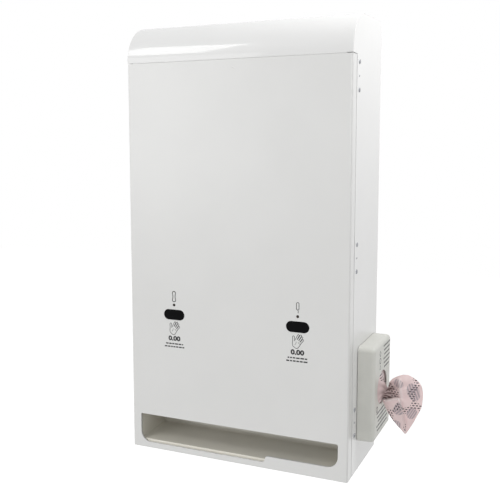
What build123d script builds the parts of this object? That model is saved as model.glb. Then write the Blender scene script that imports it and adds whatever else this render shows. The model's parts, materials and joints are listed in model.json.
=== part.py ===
from build123d import *
import math
import os

# Wall-hung dispenser for pads and tampons, in millimetres.
# The back face lies on the plane Y = 0, the front looks towards -Y, and +Z is up.
# The origin is the centre of the four wall holes, on the back face.
# A place called "deep" is measured from the front face towards the wall,
# and a place called "high" is measured from the bottom edge upwards.

# Cabinet
cabinet_width = 368.0
cabinet_depth = 160.0
sheet = 1.5
fit_gap = 0.2
flat_gap = 0.3
cut_over = 4.0

# Hood
hood_seam = 1.0
hood_lip_rise = 1.0
hood_radius = 60.0
hood_crest_rise = 5.0
hood_flange = 14.0
hood_front_lip = 12.0

# Wall holes
wall_hole_spacing_x = 344.0
wall_hole_spacing_z = 406.0
wall_hole_radius = 4.0
wall_hole_low = 130.0

# Door
door_height = 624.0
door_flange_depth = 19.0
door_return = 13.0
door_bend = 3.0
door_side_gap = 2.0

# Vend slot in the door
slot_half_width = 168.8
slot_top = 56.7
slot_low_right = 19.5
slot_low_left = 9.3
slot_step_x = 52.0
slot_step_slant = 4.0
slot_top_radius = 2.5
slot_low_radius = 17.0
slot_step_radius = 3.5
slot_hem = 1.2
slot_hem_depth = 3.0

# Sensor windows and lamps
window_x = 104.5
window_high = 227.6
window_width = 36.5
window_height = 16.5
window_rim = 3.0
window_proud = 0.4
window_flange = 1.2
lamp_high = 243.4
lamp_radius = 2.1
lamp_flange_radius = 2.9
lamp_length = 6.0
lamp_proud = 0.3
sensor_case_width = 52.0
sensor_case_height = 42.0
sensor_case_depth = 11.0
sensor_case_wall = 1.6
sensor_case_raise = 5.0
sensor_board_thickness = 1.6
sensor_eye_radius = 2.5
sensor_eye_length = 4.0
sensor_eye_spread = 9.0
sensor_plug_width = 14.0
sensor_plug_height = 6.0
sensor_plug_depth = 5.0

# Door stiffener
stiffener_width = 44.0
stiffener_foot = 10.0
stiffener_rise = 9.0
stiffener_low = 262.0
stiffener_top_drop = 24.0
stiffener_hole_radius = 8.0
stiffener_hole_pitch = 60.0

# Hinges
hinge_foot_rise = 81.0
hinge_middle_rise = 103.4
hinge_top_drop = 29.0
hinge_names = ("bottom", "middle", "top")
hinge_pivot_inset = 8.0
hinge_pivot_deep = 30.0
hinge_pin_radius = 2.0
hinge_running = 0.05
hinge_knuckle_radius = 4.5
hinge_arm_height = 12.0
hinge_arm_thickness = 3.0
hinge_arm_reach = 14.5
hinge_foot_length = 34.0
hinge_foot_height = 34.0
hinge_foot_thickness = 2.5
hinge_ear_thickness = 2.5
hinge_ear_gap = 0.3
hinge_plate_height = 52.0
hinge_plate_front = 24.0
hinge_plate_back = 45.0
hinge_pin_head = 1.2
hinge_pin_head_radius = 3.2
rivet_deep = 33.5
rivet_pitch = 20.0
rivet_shank_radius = 2.0
rivet_head_radius = 3.4
rivet_head_rise = 1.0
rivet_dome_share = 0.9
dowel_radius = 1.5
dowel_rise = 0.3
foot_screw_spread = 11.0
foot_screw_radius = 2.6
foot_screw_rise = 1.6

# Cam lock on the left side
lock_high = 470.0
lock_deep = 44.0
lock_barrel_radius = 9.0
lock_barrel_length = 18.0
lock_face_radius = 11.0
lock_face_rise = 3.0
lock_nut_radius = 12.5
lock_nut_thickness = 4.0
lock_plug_radius = 6.0
lock_running = 0.08
lock_key_width = 1.6
lock_key_height = 7.0
lock_key_depth = 8.0
lock_cam_length = 24.0
lock_cam_width = 12.0
lock_cam_thickness = 2.0
lock_cam_gap = 0.5
lock_bolt_radius = 5.0
lock_bolt_rise = 3.0
catch_width = 14.0
catch_rise = 30.5
catch_lip_drop = 20.0
catch_lip_play = 2.0
catch_thickness = 1.5
catch_foot_height = 26.0

# Dispensing tray
tray_sheet = 1.5
tray_front = 4.0
tray_skirt_low = 2.4
tray_floor_front = 13.2
tray_floor_back = 16.3
tray_front_bend = 2.0
tray_wall_deep = 82.0
tray_wall_bend = 6.0
tray_deck_high = 84.0
tray_deck_bend = 1.5
tray_end_x = 169.5
tray_end_top = 62.0
tray_back_flange = 12.0

# Pad magazine
magazine_wall = 2.0
magazine_top_drop = 39.0
magazine_lip = 12.0
magazine_lip_drop = 85.0
pad_x = -112.0
pad_half_width = 49.0
pad_column_depth = 76.0
pad_shelf_high = 150.0
pad_pack_height = 22.0
pad_exit_room = 4.0
pad_rib_width = 3.0
pad_rib_spread = 25.0
pad_rib_rise = 1.5

# Pad ejector
ejector_stroke = 45.0
ejector_half_width = 30.0
ejector_length = 30.0
ejector_thickness = 3.0
ejector_side_play = 0.4
ejector_under_play = 0.3
ejector_back_gap = 2.5
blade_width = 8.0
blade_spread = 20.0
blade_thickness = 3.0
blade_rise = 14.0
blade_side_play = 1.5
rail_drop = 16.0
rail_wall = 2.0
rail_lip = 6.0
rail_front = 81.0
gear_module = 1.5
gear_teeth = 18
gear_width = 8.0
gear_pressure_angle = 20.0
gear_backlash = 0.35
gear_tip_share = 0.8
gear_root_share = 1.15
rack_length = 52.0
rack_body = 3.0
pinion_shaft_radius = 3.0

# Gear motors
motor_radius = 13.5
motor_length = 40.0
motor_gearbox_length = 14.0
motor_gearbox_radius = 15.0
motor_boss_radius = 6.0
motor_boss_length = 2.5
motor_bore_depth = 12.0
motor_corner = 1.0
motor_end_radius = 5.0
motor_end_length = 3.0
motor_bracket_thickness = 2.0
motor_bracket_width = 44.0
motor_bracket_foot = 44.0
shaft_running = 0.05
shaft_end_gap = 0.5

# Tampon magazine and rotor
tampon_x = 90.0
tampon_half_width = 64.0
tampon_column_front = 44.0
tampon_column_depth = 24.0
tampon_magazine_low = 163.0
rotor_high = 137.0
rotor_radius = 24.0
rotor_pockets = 3
rotor_pocket_radius = 10.2
rotor_pocket_pitch = 17.0
rotor_end_play = 1.0
rotor_shaft_radius = 4.0
rotor_shell_gap = 0.9
rotor_shell_wall = 2.0
rotor_cheek_front = 28.0
rotor_cheek_low = 106.0
rotor_rib_gap = 14.0
rotor_waist_width = 3.0
rotor_mouth_play = 0.4
rotor_cheek_foot = 14.0

# Followers
pad_follower_thickness = 20.0
tampon_follower_thickness = 8.0
follower_play = 0.5
follower_corner = 1.5
follower_grip_width = 18.0
follower_grip_rise = 16.0
follower_grip_thickness = 4.0
follower_weight_rise = 12.0
follower_weight_share = 0.8

# Batteries and control board
battery_radius = 16.6
battery_length = 61.0
battery_nub_radius = 4.5
battery_nub_rise = 1.5
battery_box_wall = 2.0
battery_box_depth = 36.0
battery_box_x = -18.0
battery_box_high = 440.0
battery_cell_gap = 1.0
battery_spring_radius = 5.0
battery_spring_wire = 0.6
battery_spring_turns = 3
battery_spring_sides = 6
battery_spring_height = 4.0
battery_spring_seat_share = 1.3
board_width = 64.0
board_height = 150.0
board_thickness = 1.6
board_high = 240.0
board_standoff_length = 8.0
board_standoff_radius = 3.0
board_standoff_inset = 5.0
board_connector = 9.0
board_connector_width = 12.6
board_connector_step = 19.2
board_chip = 14.0
board_relay_height = 16.0
board_relay_length = 22.0
board_relay_step = 20.0
board_relay_drop = 36.0
board_capacitor_raise = 22.0
board_capacitor_radius = 5.0
board_capacitor_length = 14.0

# Bag box on the right side
bag_box_deep = 46.0
bag_box_run = 104.0
bag_box_low = 47.0
bag_box_height = 147.0
bag_box_thickness = 27.0
bag_box_round = 7.0
bag_box_edge = 6.0
bag_box_wall = 1.6
bag_box_off = 0.6
bag_slot_run = 62.0
bag_slot_height = 52.0
bag_slot_deep = 95.0
bag_slot_high = 122.0
bag_plate_inset = 14.0
bag_plate_thickness = 2.0
bag_back_gap = 0.6
bag_back_thickness = 1.5
bag_hook_width = 14.0
bag_hook_stub = 6.0
bag_hook_lip = 6.0
bag_hook_thickness = 1.6
bag_hook_heights = (85.0, 150.0)
bag_hook_play = 0.4
bag_lift = 7.0
bag_screw_radius = 2.0
bag_screw_head_radius = 4.0
bag_screw_heights = (102.0, 134.0)
pack_inset = 5.0
pack_round = 6.0
pack_clearance = 1.2

# Bag that hangs out of its box. Its corners, seen from the front, are shares of
# how far it reaches out from the outer face of the box, and of its height.
bag_thickness = 20.0
bag_edge_round = 6.0
bag_neck_run = 30.0
bag_neck_height = 34.0
bag_neck_high = 121.0
bag_reach = 62.5
bag_height = 91.5
bag_tip_high = 50.0
bag_outline_shares = (
    (0.03, 0.52),
    (0.13, 0.31),
    (0.35, 0.12),
    (0.61, 0.0),
    (0.80, 0.21),
    (0.96, 0.47),
    (1.0, 0.71),
    (0.96, 0.88),
    (0.80, 0.97),
    (0.54, 1.0),
    (0.32, 0.95),
    (0.05, 0.94),
)

# Places worked out from the sizes above
half_width = cabinet_width / 2
hinge_heights = (hinge_foot_rise, window_high + hinge_middle_rise, door_height - hinge_top_drop)
stiffener_high = door_height - stiffener_top_drop
magazine_high = door_height - magazine_top_drop
magazine_lip_top = magazine_high - magazine_lip_drop
inner_half = half_width - sheet
hood_foot = door_height + hood_seam
hood_centre_high = hood_foot + hood_lip_rise
hood_top_front = hood_centre_high + hood_radius
cabinet_top = hood_top_front + hood_crest_rise
holes_centre_high = wall_hole_low + wall_hole_spacing_z / 2
side_front = door_flange_depth + door_side_gap
hinge_pivot_x = half_width - hinge_pivot_inset


def deep(distance):
    """Y of a place measured from the front face towards the wall."""
    return distance - cabinet_depth


def high(distance):
    """Z of a place measured from the bottom edge upwards."""
    return distance - holes_centre_high


def block(x0, x1, d0, d1, h0, h1):
    """Box between two X places, two depths and two heights."""
    size = Box(abs(x1 - x0), abs(d1 - d0), abs(h1 - h0))
    return Pos((x0 + x1) / 2, deep((d0 + d1) / 2), high((h0 + h1) / 2)) * size


def rod_x(x0, x1, d, h, radius):
    """Round bar along X."""
    bar = Cylinder(radius, abs(x1 - x0))
    return Pos((x0 + x1) / 2, deep(d), high(h)) * Rot(0, 90, 0) * bar


def rod_y(x, d0, d1, h, radius):
    """Round bar along Y."""
    bar = Cylinder(radius, abs(d1 - d0))
    return Pos(x, deep((d0 + d1) / 2), high(h)) * Rot(90, 0, 0) * bar


def rod_z(x, d, h0, h1, radius):
    """Round bar along Z."""
    bar = Cylinder(radius, abs(h1 - h0))
    return Pos(x, deep(d), high((h0 + h1) / 2)) * bar


def side_face(points):
    """Flat outline seen from the right side, from (deep, high) points."""
    corners = [Vector(0, deep(d), high(h)) for d, h in points]
    return make_face(Polyline(*corners, close=True).edges())


def plan_face(points, height):
    """Flat outline seen from above, from (x, deep) points."""
    corners = [Vector(x, deep(d), high(height)) for x, d in points]
    return make_face(Polyline(*corners, close=True).edges())


def front_face(points, d):
    """Flat outline seen from the front, from (x, high) points."""
    corners = [Vector(x, deep(d), high(h)) for x, h in points]
    return make_face(Polyline(*corners, close=True).edges())


def along_x(face, x0, x1):
    return Pos(x0, 0, 0) * extrude(face, abs(x1 - x0), dir=(1, 0, 0))


def along_y(face, length):
    return extrude(face, length, dir=(0, 1, 0))


def along_z(face, length):
    return extrude(face, length, dir=(0, 0, 1))


def hood_profile(inset, back, foot):
    """Side outline of the hood, drawn in by inset, closed along its foot and back."""
    low = Vector(0, deep(inset), high(foot))
    spring = Vector(0, deep(inset), high(hood_centre_high))
    crest = Vector(0, deep(hood_radius), high(hood_top_front - inset))
    rise = hood_crest_rise * (back - hood_radius) / (cabinet_depth - hood_radius)
    top = Vector(0, deep(back), high(hood_top_front - inset + rise))
    end = Vector(0, deep(back), high(foot))
    turn = (hood_radius - inset) * math.sin(math.radians(45))
    middle = Vector(0, deep(hood_radius - turn), high(hood_centre_high + turn))
    lines = [Line(low, spring), ThreePointArc(spring, middle, crest), Polyline(crest, top, end, low)]
    return make_face([edge for line in lines for edge in line.edges()])


def screw_head(x, d, h, radius, rise, towards):
    """Round pan head standing on a face that looks along -Y (towards = -1) or +Y (towards = 1)."""
    head = rod_y(x, d, d + towards * rise, h, radius)
    rim = head.faces().sort_by(Axis.Y)[0 if towards < 0 else -1].edges()
    return fillet(rim, rise / 2)


# Cabinet shell
def make_back_panel():
    top = cabinet_top - sheet - fit_gap
    low_step = hood_crest_rise * sheet / (cabinet_depth - hood_radius)
    panel = block(-inner_half, inner_half, cabinet_depth - sheet, cabinet_depth, 0, top - low_step)
    for x in (-wall_hole_spacing_x / 2, wall_hole_spacing_x / 2):
        for h in (wall_hole_low, wall_hole_low + wall_hole_spacing_z):
            panel -= rod_y(x, cabinet_depth - sheet - cut_over, cabinet_depth + cut_over, h, wall_hole_radius)
    return panel


def side_outline():
    """Outline of a side panel: straight front edge behind the door, round corner under the hood."""
    whole = hood_profile(0, cabinet_depth, 0)
    door_place = [
        (-cut_over, -cut_over), (side_front, -cut_over), (side_front, hood_foot), (-cut_over, hood_foot)
    ]
    return whole - side_face(door_place)


def make_left_side_panel():
    panel = along_x(side_outline(), -half_width, -inner_half)
    return panel - rod_x(
        -half_width - cut_over, -inner_half + cut_over, lock_deep, lock_high, lock_barrel_radius + flat_gap
    )


def rivet_places():
    """Height and kind of each mark in the three hinge groups."""
    return [
        (centre + step * rivet_pitch, step == 0)
        for centre in hinge_heights
        for step in (-1, 0, 1)
    ]


def make_right_side_panel():
    panel = along_x(side_outline(), inner_half, half_width)
    for h, is_dowel in rivet_places():
        radius = dowel_radius if is_dowel else rivet_shank_radius
        panel -= rod_x(inner_half - cut_over, half_width + cut_over, rivet_deep, h, radius + hinge_running)
    for h in bag_screw_heights:
        panel -= rod_x(
            inner_half - cut_over, half_width + cut_over, bag_slot_deep, h, bag_screw_radius + hinge_running
        )
    return panel


def make_bottom_panel():
    return block(-inner_half, inner_half, side_front, cabinet_depth - sheet, 0, sheet)


def make_top_hood():
    outer = hood_profile(0, cabinet_depth, hood_foot)
    inner = hood_profile(sheet, cabinet_depth + cut_over, hood_foot - cut_over)
    hood = along_x(outer - inner, -inner_half, inner_half)
    ring = outer - hood_profile(hood_flange, cabinet_depth - sheet - fit_gap, hood_foot - cut_over)
    ring -= side_face(
        [
            (cabinet_depth - sheet - fit_gap, hood_foot - cut_over),
            (cabinet_depth + cut_over, hood_foot - cut_over),
            (cabinet_depth + cut_over, cabinet_top - sheet),
            (cabinet_depth - sheet - fit_gap, cabinet_top - sheet),
        ]
    )
    hood += along_x(ring, -inner_half, -inner_half + sheet)
    hood += along_x(ring, inner_half - sheet, inner_half)
    hood += block(-inner_half, inner_half, 0, hood_front_lip, hood_foot, hood_foot + sheet)
    return hood


# Door
def slot_outline(grow):
    """Outline of the vend slot, grown by a margin on every side."""
    right = slot_half_width + grow
    points = [
        (-right, slot_top + grow),
        (right, slot_top + grow),
        (right, slot_low_right - grow),
        (slot_step_x + slot_step_slant / 2 - grow, slot_low_right - grow),
        (slot_step_x - slot_step_slant / 2 - grow, slot_low_left - grow),
        (-right, slot_low_left - grow),
    ]
    radii = [
        slot_top_radius + grow,
        slot_top_radius + grow,
        slot_low_radius + grow,
        slot_step_radius - grow,
        slot_step_radius + grow,
        slot_low_radius + grow,
    ]
    return points, radii


def slot_cutter(grow, d0, d1):
    points, radii = slot_outline(grow)
    solid = along_y(front_face(points, d0), d1 - d0)
    upright = solid.edges().filter_by(Axis.Y)
    for (x, h), radius in zip(points, radii):
        corner = Vector(x, deep((d0 + d1) / 2), high(h))
        edge = min(upright, key=lambda e: (e.center() - corner).length)
        near = min(solid.edges().filter_by(Axis.Y), key=lambda e: (e.center() - edge.center()).length)
        solid = fillet(near, radius)
    return solid


def obround_y(x, h, width, height, d0, d1, grow=0):
    """Bar along Y whose section is a flat-sided oval."""
    plane = Plane(origin=(x, deep(d0), high(h)), x_dir=(1, 0, 0), z_dir=(0, 1, 0))
    face = plane * SlotOverall(width + 2 * grow, height + 2 * grow)
    return extrude(face, d1 - d0)


def bent_block(x0, x1, d0, d1, h0, h1, bend):
    """Block whose two upright front edges are bent round."""
    body = block(x0, x1, d0, d1, h0, h1)
    upright = body.faces().sort_by(Axis.Y)[0].edges().filter_by(Axis.Z)
    return fillet(upright, bend)


def make_door_panel():
    outer = bent_block(-half_width, half_width, 0, door_flange_depth, 0, door_height, door_bend)
    inside = half_width - sheet
    door = outer - bent_block(
        -inside, inside, sheet, door_flange_depth + cut_over, sheet, door_height - sheet, door_bend - sheet
    )
    door -= block(
        -inside, inside, door_return, door_flange_depth + cut_over, -cut_over, door_height + cut_over
    )
    door += slot_cutter(slot_hem, sheet / 2, slot_hem_depth)
    door -= slot_cutter(0, -cut_over, slot_hem_depth + cut_over)
    for x in (-window_x, window_x):
        door -= obround_y(x, window_high, window_width, window_height, -cut_over, cut_over, fit_gap)
        door -= rod_y(x, -cut_over, cut_over, lamp_high, lamp_radius + fit_gap)
    return door


def make_door_stiffener():
    half = stiffener_width / 2
    crown = half - stiffener_foot
    outer = [
        (-half, sheet), (half, sheet), (half, 2 * sheet), (crown + sheet, 2 * sheet),
        (crown + sheet, sheet + stiffener_rise), (-crown - sheet, sheet + stiffener_rise),
        (-crown - sheet, 2 * sheet), (-half, 2 * sheet),
    ]
    inner = [(-crown, 0), (crown, 0), (crown, stiffener_rise), (-crown, stiffener_rise)]
    face = plan_face(outer, stiffener_low) - plan_face(inner, stiffener_low)
    beam = along_z(face, stiffener_high - stiffener_low)
    count = int((stiffener_high - stiffener_low) / stiffener_hole_pitch)
    first = (stiffener_low + stiffener_high) / 2 - (count - 1) * stiffener_hole_pitch / 2
    for i in range(count):
        h = first + i * stiffener_hole_pitch
        beam -= rod_y(0, stiffener_rise - cut_over, stiffener_rise + cut_over, h, stiffener_hole_radius)
    return beam


def make_sensor_window(x):
    """Dark lens set in the door, with a flange that sits on the inner face of the door."""
    lens = obround_y(x, window_high, window_width, window_height, -window_proud, sheet)
    rim = lens.faces().sort_by(Axis.Y)[0].edges()
    lens = fillet(rim, window_proud)
    return lens + obround_y(
        x, window_high, window_width, window_height, sheet, sheet + window_flange, window_rim
    )


def make_lamp_lens(x):
    lens = rod_y(x, -lamp_proud, lamp_length, lamp_high, lamp_radius)
    lens = fillet(lens.faces().sort_by(Axis.Y)[0].edges(), lamp_proud)
    return lens + rod_y(
        x, sheet, lamp_length, lamp_high, lamp_flange_radius
    )


def make_sensor_case(x):
    """Open tray behind a window that holds its small board."""
    h = window_high + sensor_case_raise
    half_w = sensor_case_width / 2
    half_h = sensor_case_height / 2
    case = block(x - half_w, x + half_w, sheet, sheet + sensor_case_depth, h - half_h, h + half_h)
    case -= block(
        x - half_w + sensor_case_wall, x + half_w - sensor_case_wall, 0, sheet + sensor_case_depth + cut_over,
        h - half_h + sensor_case_wall, h + half_h - sensor_case_wall,
    )
    ledge = sheet + sensor_case_depth - 2 * sensor_board_thickness
    for side in (-1, 1):
        case += block(
            x + side * (half_w - 2 * sensor_case_wall), x + side * half_w,
            ledge - sensor_board_thickness, ledge, h - half_h, h + half_h,
        )
    return case


def make_sensor_board(x):
    """Small board on the ledges of its case, with two eyes that look through the window."""
    h = window_high + sensor_case_raise
    half_w = sensor_case_width / 2 - sensor_case_wall - fit_gap
    half_h = sensor_case_height / 2 - sensor_case_wall - fit_gap
    face = sheet + sensor_case_depth - 2 * sensor_board_thickness
    board = block(x - half_w, x + half_w, face, face + sensor_board_thickness, h - half_h, h + half_h)
    for side in (-1, 1):
        eye_x = x + side * sensor_eye_spread
        board += rod_y(eye_x, face - sensor_eye_length, face, window_high, sensor_eye_radius)
    back = face + sensor_board_thickness
    board += block(
        x - sensor_plug_width / 2, x + sensor_plug_width / 2, back, back + sensor_plug_depth,
        h, h + sensor_plug_height,
    )
    return board


# Hinges
def make_hinge_bracket(centre):
    plate = block(
        inner_half - sheet, inner_half, hinge_plate_front, hinge_plate_back,
        centre - hinge_plate_height / 2, centre + hinge_plate_height / 2,
    )
    inside = hinge_arm_height / 2 + hinge_ear_gap
    for side in (-1, 1):
        h0 = centre + side * inside
        h1 = h0 + side * hinge_ear_thickness
        low = min(h0, h1)
        ear = block(
            hinge_pivot_x, inner_half - sheet, hinge_pivot_deep - hinge_knuckle_radius,
            hinge_pivot_deep + hinge_knuckle_radius, low, low + hinge_ear_thickness,
        )
        ear += rod_z(hinge_pivot_x, hinge_pivot_deep, low, low + hinge_ear_thickness, hinge_knuckle_radius)
        ear -= rod_z(
            hinge_pivot_x, hinge_pivot_deep, low - cut_over, low + hinge_ear_thickness + cut_over,
            hinge_pin_radius + hinge_running,
        )
        plate += ear
    for step in (-1, 0, 1):
        radius = dowel_radius if step == 0 else rivet_shank_radius
        plate -= rod_x(
            inner_half - sheet - cut_over, inner_half + cut_over, rivet_deep, centre + step * rivet_pitch,
            radius + hinge_running,
        )
    return plate


def make_hinge_arm(centre):
    """Goose-neck strap: knuckle, neck round the edge of the side panel, and a foot on the door."""
    low = centre - hinge_arm_height / 2
    half = hinge_arm_thickness / 2
    elbow = hinge_pivot_x - hinge_arm_reach
    neck = [
        (hinge_pivot_x, hinge_pivot_deep - half),
        (hinge_pivot_x, hinge_pivot_deep + half),
        (elbow - half, hinge_pivot_deep + half),
        (elbow - half, sheet),
        (elbow + half, sheet),
        (elbow + half, hinge_pivot_deep - half),
    ]
    arm = along_z(plan_face(neck, low), hinge_arm_height)
    corner = Vector(elbow - half, deep(hinge_pivot_deep + half), high(centre))
    bend = min(arm.edges().filter_by(Axis.Z), key=lambda e: (e.center() - corner).length)
    arm = fillet(bend, hinge_arm_thickness)
    arm += rod_z(hinge_pivot_x, hinge_pivot_deep, low, low + hinge_arm_height, hinge_knuckle_radius)
    foot = block(
        elbow + half - hinge_foot_length, elbow + half, sheet, sheet + hinge_foot_thickness,
        centre - hinge_foot_height / 2, centre + hinge_foot_height / 2,
    )
    arm += foot
    return arm - rod_z(
        hinge_pivot_x, hinge_pivot_deep, low - cut_over, low + hinge_arm_height + cut_over,
        hinge_pin_radius + hinge_running,
    )


def make_hinge_screws():
    """Two pan heads on the foot of each hinge arm."""
    x = hinge_pivot_x - hinge_arm_reach - hinge_foot_length / 2 - hinge_arm_thickness
    face = sheet + hinge_foot_thickness
    return [
        screw_head(x, face, centre + side * foot_screw_spread, foot_screw_radius, foot_screw_rise, 1)
        for centre in hinge_heights
        for side in (-1, 1)
    ]


def make_hinge_pin(centre):
    reach = hinge_arm_height / 2 + hinge_ear_gap + hinge_ear_thickness
    pin = rod_z(
        hinge_pivot_x, hinge_pivot_deep, centre - reach - hinge_pin_head, centre + reach, hinge_pin_radius
    )
    return pin + rod_z(
        hinge_pivot_x, hinge_pivot_deep, centre + reach, centre + reach + hinge_pin_head,
        hinge_pin_head_radius,
    )


def make_rivets():
    """Domed rivets of the hinges, and the small dowel in the middle of each group."""
    rivets = []
    inside = inner_half - sheet
    for h, is_dowel in rivet_places():
        if is_dowel:
            rivets.append(rod_x(inside, half_width + dowel_rise, rivet_deep, h, dowel_radius))
            continue
        rivet = rod_x(inside - rivet_head_rise, half_width, rivet_deep, h, rivet_shank_radius)
        rivet += rod_x(inside - rivet_head_rise, inside, rivet_deep, h, rivet_head_radius)
        head = rod_x(half_width, half_width + rivet_head_rise, rivet_deep, h, rivet_head_radius)
        head = fillet(head.faces().sort_by(Axis.X)[-1].edges(), rivet_head_rise * rivet_dome_share)
        rivets.append(rivet + head)
    return rivets


# Lock and catch
def make_lock_housing():
    inside = -half_width + lock_barrel_length
    housing = rod_x(-half_width, inside, lock_deep, lock_high, lock_barrel_radius)
    face = rod_x(-half_width - lock_face_rise, -half_width, lock_deep, lock_high, lock_face_radius)
    housing += fillet(face.faces().sort_by(Axis.X)[0].edges(), lock_face_rise / 2)
    return housing - rod_x(
        -half_width - lock_face_rise - cut_over, inside + cut_over, lock_deep, lock_high,
        lock_plug_radius + lock_running,
    )


def make_lock_nut():
    plane = Plane(origin=(-inner_half, deep(lock_deep), high(lock_high)), x_dir=(0, 1, 0), z_dir=(1, 0, 0))
    nut = extrude(plane * RegularPolygon(lock_nut_radius, 6), lock_nut_thickness)
    return nut - rod_x(
        -inner_half - cut_over, -inner_half + lock_nut_thickness + cut_over, lock_deep, lock_high,
        lock_barrel_radius + hinge_running,
    )


def lock_cam_place():
    """X of the cam's outer face, just inside the end of the barrel."""
    return -half_width + lock_barrel_length + lock_cam_gap


def make_lock_plug():
    face = -half_width - lock_face_rise
    plug = rod_x(face, lock_cam_place(), lock_deep, lock_high, lock_plug_radius)
    return plug - block(
        face - cut_over, face + lock_key_depth,
        lock_deep - lock_key_width / 2, lock_deep + lock_key_width / 2,
        lock_high - lock_key_height / 2, lock_high + lock_key_height / 2,
    )


def make_lock_cam():
    """Flat cam that points at the door when unlocked, with its bolt head."""
    x = lock_cam_place()
    tip = lock_deep - lock_cam_length + lock_cam_width / 2
    cam = rod_x(x, x + lock_cam_thickness, lock_deep, lock_high, lock_cam_width / 2)
    cam += rod_x(x, x + lock_cam_thickness, tip, lock_high, lock_cam_width / 2)
    cam += block(
        x, x + lock_cam_thickness, tip, lock_deep,
        lock_high - lock_cam_width / 2, lock_high + lock_cam_width / 2,
    )
    return cam


def make_lock_bolt():
    x = lock_cam_place() + lock_cam_thickness
    plane = Plane(origin=(x, deep(lock_deep), high(lock_high)), x_dir=(0, 1, 0), z_dir=(1, 0, 0))
    return extrude(plane * RegularPolygon(lock_bolt_radius, 6), lock_bolt_rise)


def make_door_catch():
    """Angled hook on the door whose lip the cam holds back."""
    middle = lock_cam_place() + lock_cam_thickness / 2
    x0 = middle - catch_width / 2
    x1 = middle + catch_width / 2
    lip = lock_deep + lock_cam_width / 2 + catch_lip_play
    top = lock_high + catch_rise + catch_thickness
    profile = [
        (sheet, top), (lip + catch_thickness, top), (lip + catch_thickness, top - catch_lip_drop),
        (lip, top - catch_lip_drop), (lip, top - catch_thickness),
        (sheet + catch_thickness, top - catch_thickness),
        (sheet + catch_thickness, top - catch_foot_height), (sheet, top - catch_foot_height),
    ]
    return along_x(side_face(profile), x0, x1)


# Dispensing tray
def make_dispensing_tray():
    """Skirt, floor, back wall and deck folded from one sheet, with a wall at each end."""
    deck = tray_deck_high
    back = cabinet_depth - sheet
    wall = tray_wall_deep
    top_face = [
        (tray_front, tray_floor_front), (wall, tray_floor_back), (wall, deck), (back, deck),
    ]
    under_face = [
        (back, deck - tray_back_flange), (back - tray_sheet, deck - tray_back_flange),
        (back - tray_sheet, deck - tray_sheet), (wall + tray_sheet, deck - tray_sheet),
        (wall + tray_sheet, tray_floor_back - tray_sheet),
        (tray_front + tray_sheet, tray_floor_front - tray_sheet),
        (tray_front + tray_sheet, tray_skirt_low), (tray_front, tray_skirt_low),
    ]
    end = tray_end_x + tray_sheet
    tray = along_x(side_face(top_face + under_face), -end, end)
    bends = [
        (tray_front, tray_floor_front, tray_front_bend),
        (tray_front + tray_sheet, tray_floor_front - tray_sheet, tray_front_bend - tray_sheet),
        (wall, tray_floor_back, tray_wall_bend),
        (wall + tray_sheet, tray_floor_back - tray_sheet, tray_wall_bend + tray_sheet),
        (wall, deck, tray_deck_bend + tray_sheet),
        (wall + tray_sheet, deck - tray_sheet, tray_deck_bend),
    ]
    for d, h, radius in bends:
        place = Vector(0, deep(d), high(h))
        edge = min(tray.edges().filter_by(Axis.X), key=lambda e: (e.center() - place).length)
        tray = fillet(edge, radius)
    for side in (-1, 1):
        x0 = min(side * tray_end_x, side * end)
        tray += block(
            x0, x0 + tray_sheet, tray_front + tray_front_bend, wall + tray_sheet / 2,
            tray_skirt_low, tray_end_top,
        )
        x0 = min(side * tray_end_x, side * inner_half)
        tray += block(
            x0, x0 + inner_half - tray_end_x, wall + tray_sheet + tray_deck_bend, back,
            deck - tray_sheet, deck,
        )
    return tray


# Pad magazine with its shelf and rails
def pad_front():
    return cabinet_depth - sheet - magazine_wall - pad_column_depth


def make_pad_magazine():
    back = cabinet_depth - sheet
    front = pad_front()
    low = pad_shelf_high - magazine_wall
    left = pad_x - pad_half_width
    right = pad_x + pad_half_width
    body = block(left - magazine_wall, right + magazine_wall, front, back, low, magazine_high)
    body -= block(
        left, right, front - cut_over, back - magazine_wall, pad_shelf_high, magazine_high + cut_over
    )
    exit_top = pad_shelf_high + pad_pack_height + pad_exit_room
    for x0 in (left, right - magazine_lip):
        body += block(x0, x0 + magazine_lip, front, front + magazine_wall, exit_top, magazine_lip_top)
    for x in (pad_x - pad_rib_spread, pad_x + pad_rib_spread):
        body += block(
            x - pad_rib_width / 2, x + pad_rib_width / 2, back - magazine_wall - pad_rib_rise,
            back - magazine_wall, exit_top, magazine_high,
        )
    for side in (-1, 1):
        x = pad_x + side * blade_spread
        slot_half = blade_width / 2 + blade_side_play
        blade_back = back - magazine_wall
        body -= block(
            x - slot_half, x + slot_half,
            blade_back - ejector_back_gap - blade_thickness - ejector_stroke - blade_side_play,
            blade_back, low - cut_over, pad_shelf_high + cut_over,
        )
        wall_in = pad_x + side * (ejector_half_width + ejector_side_play)
        wall_out = wall_in + side * rail_wall
        body += block(wall_in, wall_out, rail_front, back, low - rail_drop, low)
        lip_in = wall_in - side * rail_lip
        body += block(lip_in, wall_out, rail_front, back, low - rail_drop, low - rail_drop + rail_wall)
    return body


def ejector_low():
    """Height of the underside of the carriage, on the lips of its rails."""
    return pad_shelf_high - magazine_wall - rail_drop + rail_wall + ejector_under_play


def ejector_back():
    return cabinet_depth - sheet - magazine_wall - ejector_back_gap


def pitch_line_high():
    return ejector_low() - rack_body - gear_root_share * gear_module


def pinion_high():
    return pitch_line_high() - gear_module * gear_teeth / 2


def pinion_deep():
    """The pinion meets the rack over the whole stroke."""
    return ejector_back() - rack_length + (rack_length - ejector_stroke) / 2


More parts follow.
